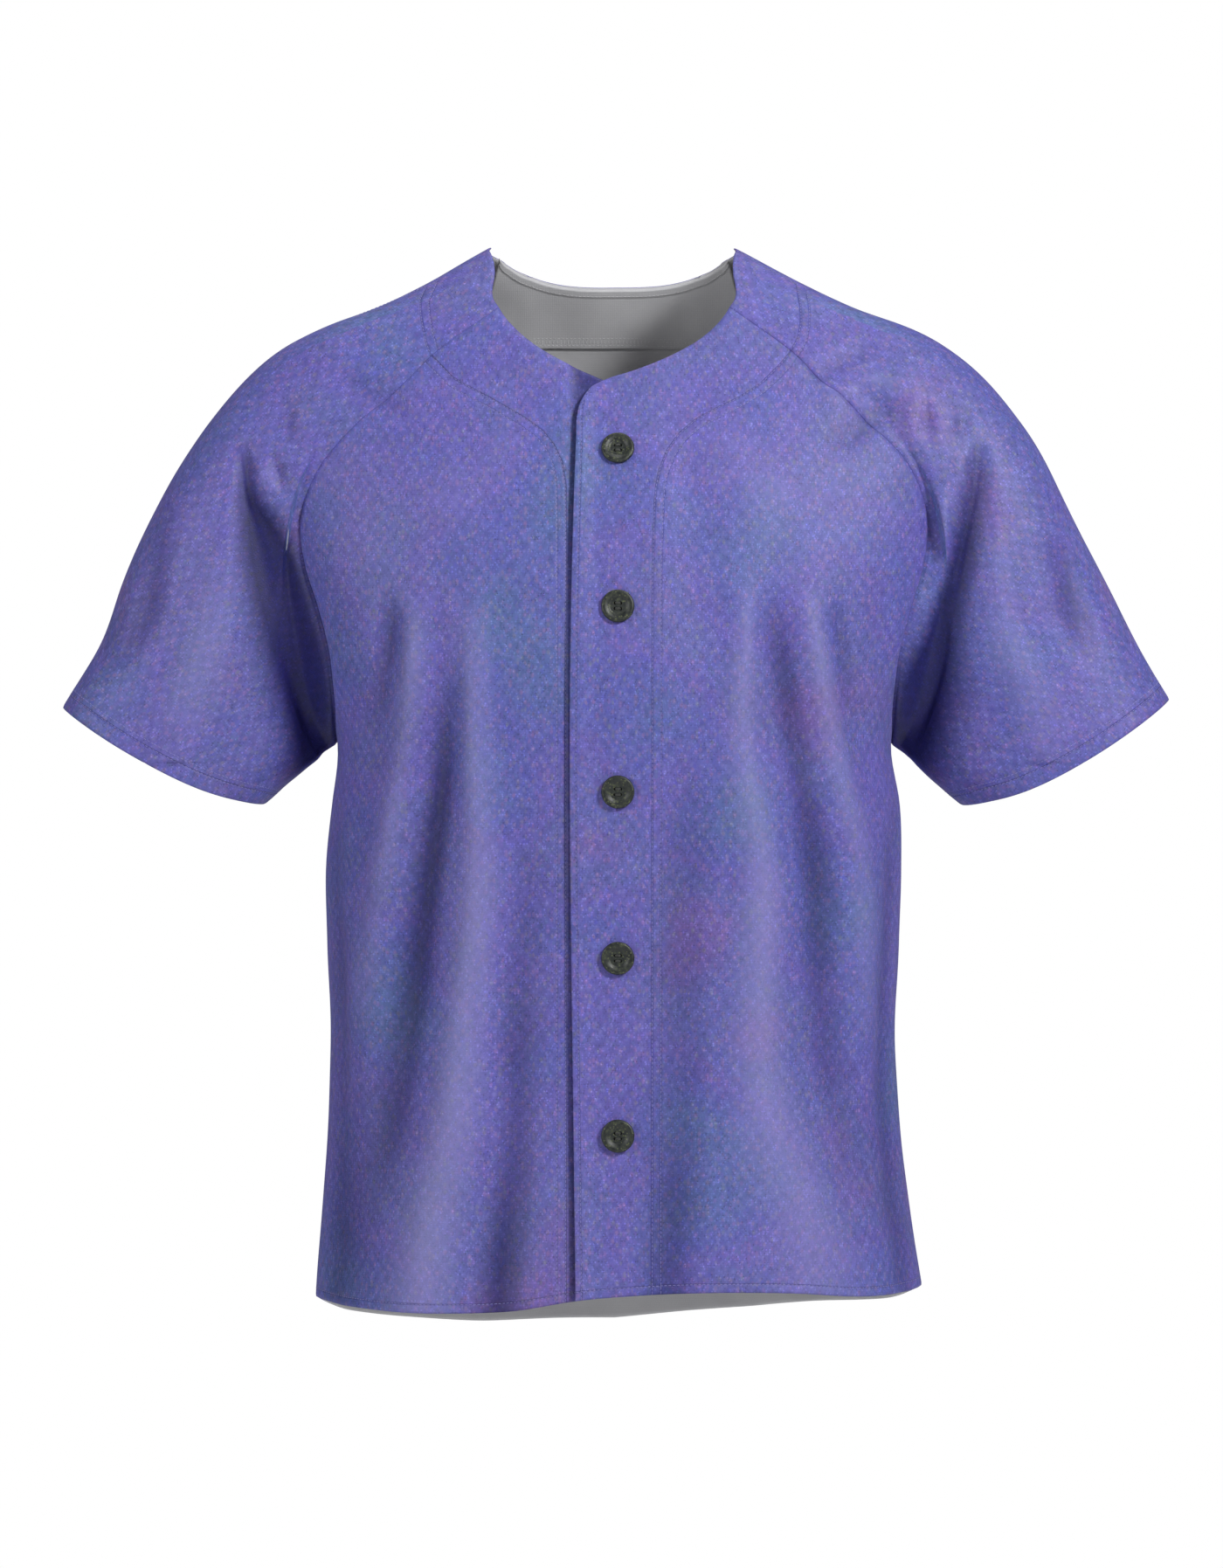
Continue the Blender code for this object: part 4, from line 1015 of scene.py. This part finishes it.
def buildSleeve(name, node, side):
    rings = sleeveRings[side]
    root = sleeveRoot() * (side, 1)
    start, seamNormal = bodyPoint(root[:, 0], root[:, 1]), bodyNormal(root[:, 0], root[:, 1])
    halfCount = sleeve["neckRowsFront"] + cloth["rowsAboveArm"]
    steps = np.linalg.norm(np.roll(start, -1, axis=0) - start, axis=1)
    frontShare = np.concatenate([[0], np.cumsum(steps[:halfCount])[:-1]]) / steps[:halfCount].sum()
    backShare = 1 - np.concatenate([[0], np.cumsum(steps[halfCount:])[:-1]]) / steps[halfCount:].sum()
    shares = np.concatenate([frontShare, backShare])
    loops = [sleeveRing(rings, row, shares, halfCount) * (side, 1, 1) for row in range(len(rings["along"]))]
    alongSeam = unit(np.roll(start, -1, axis=0) - np.roll(start, 1, axis=0))
    reach = loops[0] - start
    square = unit(np.cross(seamNormal, alongSeam)) * side
    own = (0.7 * smoothStep(0.12, 0.35, shares) * smoothStep(0.2, 0.6, 1 - shares))[:, None]
    leave = unit(own * square + (1 - own) * unit(reach)) * np.linalg.norm(reach, axis=1, keepdims=True)
    knots = np.concatenate([[0], rings["along"]])
    levels = np.stack([start, *loops])
    slopes = np.gradient(levels, knots, axis=0)
    slopes[0] = leave / knots[1]
    along = crowded(sleeve["rows"])
    base = hermite(knots, levels, slopes, along)
    normals = gridNormals(base, True) * side
    columns = np.arange(len(shares))
    lastSewn = sleeve["neckRowsFront"] + 2 * cloth["rowsAboveArm"]
    free = (columns < sleeve["neckRowsFront"]) | (columns > lastSewn)
    walls = np.where(free[:, None], normals[0], unit(seamNormal + normals[0]))
    normals[0] = seamNormal
    length = lengthAlong(base, 0)
    toCuff = fromEnd(length, 0)
    away = smoothStep(0.0, 0.14, along)[:, None]
    frontFolds, backFolds = ("leftSleeve", "leftBack") if side > 0 else ("rightSleeve", "rightBack")
    ahead = drapeHeight(base, normals, drapes[frontFolds])
    behind = foldHeight(base, normals, folds[backFolds], 0, (0, 1, 0))
    amount = bodyFolds(base, normals) + np.where(free, 0.0, 1.0) * pinch(length)
    points = base + normals * amount[..., None]
    points[..., 1] += away * (behind - ahead)
    directions = gridNormals(points, True) * side
    directions[0] = walls
    points[0] = points[0] + square * cloth["seamGap"] / 2 * np.where(free, 0.0, 1.0)[:, None]
    # the seam where the facing ends runs on over the shoulder
    seam = frontSeams[side]
    placket = lineDistance(points[..., 0], points[..., 2], seam) * side
    placket = placket + 60 * smoothStep(-6, 4, points[..., 1])
    axis = np.array(sleeve["axis"][side])
    high = base @ np.array([axis[2], 0, -axis[0]])
    uv = np.stack([high + 2600 + side * 400, base[..., 1], -(base @ axis)], -1)
    distances = {
        "free": np.minimum(toCuff, np.where(free, length, 90.0)),
        "placket": placket,
        "hem": toCuff + seams["hemRow"] - seams["cuffRow"],
        "line": np.full_like(length, 90.0),
        "fold": ahead + behind + bodyFolds(base, normals),
    }
    turned = toCuff < 22
    item = panelMesh(
        name, points, directions, distances, uv, True, side < 0, [printedFinish, plainFinish], (turned,),
        np.abs(normals[..., 1]),
    )
    ringed = [np.concatenate([part, part[:, :1]], axis=1) for part in (points, directions)]
    top = [np.swapaxes(part, 0, 1) for part in ringed]
    cuffAway = np.swapaxes(np.concatenate([toCuff, toCuff[:, :1]], axis=1), 0, 1)
    sewing = [stitchRow(*top, cuffAway, seams["cuffRow"] + row) for row in (0.0, 3.8)]
    half = sleeve["neckRowsFront"] + 40
    frontTop = [part[:half] for part in top]
    field = np.swapaxes(placket, 0, 1)[:half]
    sewing += [stitchRow(*frontTop, field, level) for level in (0.0, seams["twin"])]
    sewn = stitching(name + "Stitches", sewing, threadFinish)
    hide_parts(node)
    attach(item, "root")
    print(f"{name} ready")


frontSeams = {1: front["seamLeft"], -1: front["seamRight"]}

buildFront(
    "frontLeft", "front_left", 1, front["neckUpper"], front["edgeUpper"], upperLift, front["seamLeft"],
)
buildFront(
    "frontRight", "front_right", -1, front["neckLower"], front["edgeLower"], lowerDip, front["seamRight"],
)
buildBack()
buildSleeve("sleeveLeft", "sleeve_left", 1)
buildSleeve("sleeveRight", "sleeve_right", -1)


# neck facing

facing = {
    "topX": 82.0,
    "lowX": 98.0,
    "lowHeight": -65.0,
    "rows": 64,
    "columns": 150,
    "ease": 0.9,
    "thickness": 1.2,
    "gap": 0.3,
    "coverRows": (3.0, 8.6),
}


def buildFacing():
    # the back panel's surface moved inwards, between the neck edge and a level lower edge
    across = np.linspace(-1, 1, facing["columns"] + 1)[None, :]
    down = 1 - crowded(facing["rows"])[:, None]
    topX = -facing["topX"] * across
    rim = spline(neckBack["x"], neckBack["height"], np.abs(topX)) - 0.8
    x = (1 - down) * topX - down * facing["lowX"] * across
    height = (1 - down) * rim + down * facing["lowHeight"]
    angle = angleOf(x, height, True)
    angle = np.where(angle < 0, angle + 2 * math.pi, angle)
    base, normals = bodyPoint(angle, height), bodyNormal(angle, height)
    inward = cloth["thickness"] + facing["gap"] + facing["ease"] * smoothStep(45, 66, np.abs(x))
    up = lengthAlong(base, 0)
    toTop = fromEnd(up, 0)
    bind = 0.5 * smoothStep(6.4, 5.4, toTop) * smoothStep(0, 0.8, toTop)  # the bound rim stands proud inside
    points = base + normals * (bodyFolds(base, normals) - inward)[..., None]
    directions = gridNormals(points)
    rows, columns = points.shape[:2]
    rounded = 0.45 * smoothStep(1.2, 0.0, np.minimum(up, toTop))
    inner = points - directions * (facing["thickness"] + bind - rounded)[..., None]
    index = np.arange(rows * columns).reshape(rows, columns)
    quads = gridQuads(index)
    below = rows * columns
    rims = [index[0][::-1], index[-1], index[:, 0], index[::-1, -1]]
    strips = [np.stack([r[1:], r[1:] + below, r[:-1] + below, r[:-1]], -1) for r in rims]
    faces = np.concatenate([quads, quads[:, ::-1] + below, *strips])
    mesh = makeMesh("neckFacing", np.concatenate([points.reshape(-1, 3), inner.reshape(-1, 3)]), faces)
    uv = np.stack([x * np.ones_like(height), height * np.ones_like(x)], -1).reshape(-1, 2)
    layer = mesh.uv_layers.new(name="clothUv")
    layer.uv.foreach_set("vector", (np.concatenate([uv, uv])[faces.ravel()] * mm).astype(np.float32).ravel())
    item = makeObject("neckFacing", mesh, [facingFinish])
    top = np.swapaxes(inner, 0, 1), np.swapaxes(-directions, 0, 1)
    sewing = [stitchRow(*top, np.swapaxes(up, 0, 1), level) for level in facing["coverRows"]]
    sewing.append(stitchRow(*top, np.swapaxes(toTop, 0, 1), 4.8))
    # the cover stitch's thread crosses to and fro between its two rows
    low = evenPath(*crossingPath(*top, np.swapaxes(up, 0, 1), facing["coverRows"][0] + 1.3), 2.6)
    high = evenPath(*crossingPath(*top, np.swapaxes(up, 0, 1), facing["coverRows"][1] - 1.3), 2.6)
    count = min(len(low[0]), len(high[0]))
    for lift, turn in ((0.32, 1.0), (0.68, -1.0)):
        place = low[0][:count] * (1 - lift) + high[0][:count] * lift
        crossing = unit(high[0][:count] - low[0][:count])
        sewing.append((place, low[1][:count], unit(low[2][:count] * 0.55 * turn + crossing)))
    sewn = stitching("neckFacingStitches", sewing, greyThread)
    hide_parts("neck_facing")
    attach(item, "root")
    print("neckFacing ready")


buildFacing()


# buttons

button = {
    "heights": (-146.0, -254.0, -380.0, -493.5, -615.0),
    "x": 2.5,
    "standOff": 0.4,
    "sides": 96,
    "radius": (
        0, 1.2, 1.9, 2.7, 3.6, 5.4, 6.0, 6.6, 7.4, 8.6, 9.8, 10.6, 11.1, 11.35, 11.3, 10.9, 10.2, 5.0, 0,
    ),
    "height": (
        1.9, 1.9, 1.9, 1.9, 1.9, 1.95, 2.15, 2.6, 3.0, 3.35, 3.4, 3.2, 2.75, 2.1, 1.1, 0.35, 0, 0, 0,
    ),
    "holeRadius": 0.98,
    "holeSpacing": 1.9,
    "holeDepth": 1.6,
}


def buttonSurface():
    # a profile turned round the middle; inside each hole the face drops by a smooth step of the distance
    # from its rim
    knots = lengthAlong(np.stack([button["radius"], button["height"]], -1), 0)
    fine = np.concatenate([np.linspace(0, 5.0, 46), np.linspace(5.0, knots[-1], 66)[1:]])
    radius, height = np.interp(fine, knots, button["radius"]), np.interp(fine, knots, button["height"])
    turn = np.linspace(0, 2 * math.pi, button["sides"], endpoint=False)
    x, y = radius[:, None] * np.cos(turn), radius[:, None] * np.sin(turn)
    spacing = button["holeSpacing"]
    off = np.hypot(np.abs(x) - spacing, np.abs(y) - spacing)
    top = (fine < knots[10])[:, None]
    rim = button["holeRadius"]
    drop = button["holeDepth"] * smoothStep(rim + 0.12, rim - 0.12, off) * top
    return x, y, height[:, None] - drop


def buttonThread():
    # two bars between the holes: half circles from hole to hole, as round tubes
    s = np.linspace(-1, 1, 17)[:, None]
    around = np.linspace(0, 2 * math.pi, 8, endpoint=False)
    bars = []
    for y, shift in ((-1, -0.32), (-1, 0.32), (1, -0.32), (1, 0.32)):
        middle = button["holeSpacing"] * 1.02 * s
        arch = 2.35 - 1.5 * s**6
        bars.append(
            np.stack(
                [
                    middle + 0 * around,
                    y * button["holeSpacing"] + shift + 0.36 * np.cos(around) + 0 * s,
                    arch + 0.32 * np.sin(around),
                ],
                -1,
            )
        )
    return np.array(bars)


def buildButton(number, height):
    spot = np.array(height)
    angle = angleOf(np.array(button["x"]), spot)
    outward = bodyNormal(angle, spot)
    right = unit(np.cross([0.0, 0.0, 1.0], outward))
    axes = np.stack([right, np.cross(outward, right), outward])
    centre = bodyPoint(angle, spot) + outward * (front["overlapLift"] + button["standOff"])
    x, y, z = buttonSurface()
    vertices = centre + np.stack([x, y, z], -1).reshape(-1, 3) @ axes
    faces = wrappedQuads(*x.shape)
    mesh = makeMesh(f"button{number}", vertices, faces[:, ::-1])
    item = makeObject(f"button{number}", mesh, [buttonFinish])
    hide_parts(f"button_{number}")
    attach(item, "root")
    bars = buttonThread()
    tube = wrappedQuads(bars.shape[1], bars.shape[2])
    shift = np.arange(len(bars))[:, None, None] * bars.shape[1] * bars.shape[2]
    tubes = (tube[None, :, ::-1] + shift).reshape(-1, 4)
    mesh = makeMesh(f"button{number}Thread", centre + bars.reshape(-1, 3) @ axes, tubes)
    tied = makeObject(f"button{number}Thread", mesh, [darkThread])
    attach(tied, "root")


for number, height in enumerate(button["heights"], 1):
    buildButton(number, height)
print("buttons ready")


# camera, light and floor

studio = {
    "distance": 5.0,
    "seen": 1.095,  # height of the view at the object, in metres
    "middleZ": -0.3648,
    "middleX": -0.0018,
    "background": 1.0,
    "ambient": 0.09,
    "key": {"place": (2.4, -2.7, 1.7), "size": 0.9, "power": 150.0},
    "fill": {"place": (-2.9, -2.3, 0.7), "size": 1.8, "power": 62.0},
    "top": {"place": (0.2, 0.3, 2.4), "size": 1.4, "power": 26.0},
}


def buildCamera():
    lens = bpy.data.cameras.new("camera")
    lens.lens = lens.sensor_width * studio["distance"] / studio["seen"]  # the sensor's width is the long side's
    item = bpy.data.objects.new("camera", lens)
    item.location = (studio["middleX"], -studio["distance"], studio["middleZ"])
    item.rotation_euler = (math.pi / 2, 0, 0)
    bpy.context.scene.collection.objects.link(item)
    bpy.context.scene.camera = item


def buildLights():
    for name in ("key", "fill", "top"):
        lamp = bpy.data.lights.new(name, "AREA")
        lamp.energy = studio[name]["power"]
        lamp.size = studio[name]["size"]
        item = bpy.data.objects.new(name, lamp)
        place = np.array(studio[name]["place"])
        item.location = place
        away = unit(place - np.array([0, 0, studio["middleZ"]]))
        tilt = math.acos(away[2])
        item.rotation_euler = (tilt, 0, math.atan2(away[0], -away[1]))
        bpy.context.scene.collection.objects.link(item)
    world = bpy.data.worlds.new("studio")
    world.use_nodes = True
    bpy.context.scene.world = world
    tree = world.node_tree
    backdrop = tree.nodes["Background"]
    backdrop.inputs["Color"].default_value = (1, 1, 1, 1)
    seen = tree.nodes.new("ShaderNodeLightPath").outputs["Is Camera Ray"]
    strength = tree.nodes.new("ShaderNodeMapRange")
    strength.inputs["To Min"].default_value = studio["ambient"]
    strength.inputs["To Max"].default_value = studio["background"]
    tree.links.new(seen, strength.inputs["Value"])
    tree.links.new(strength.outputs[0], backdrop.inputs["Strength"])
    bpy.context.scene.view_settings.view_transform = "Standard"


def buildFloor():
    corners = np.array([(-4000, -4500, 0), (4000, -4500, 0), (4000, 4500, 0), (-4000, 4500, 0)], float)
    mesh = makeMesh("floor", corners + (0, 0, -1500), np.array([[0, 1, 2, 3]]))
    n = Nodes("paleFloor", 0.9)
    n.shader.inputs["Base Color"].default_value = (0.86, 0.86, 0.87, 1)
    makeObject("floor", mesh, [n.material])


buildCamera()
buildLights()
buildFloor()
print("camera, light and floor ready")
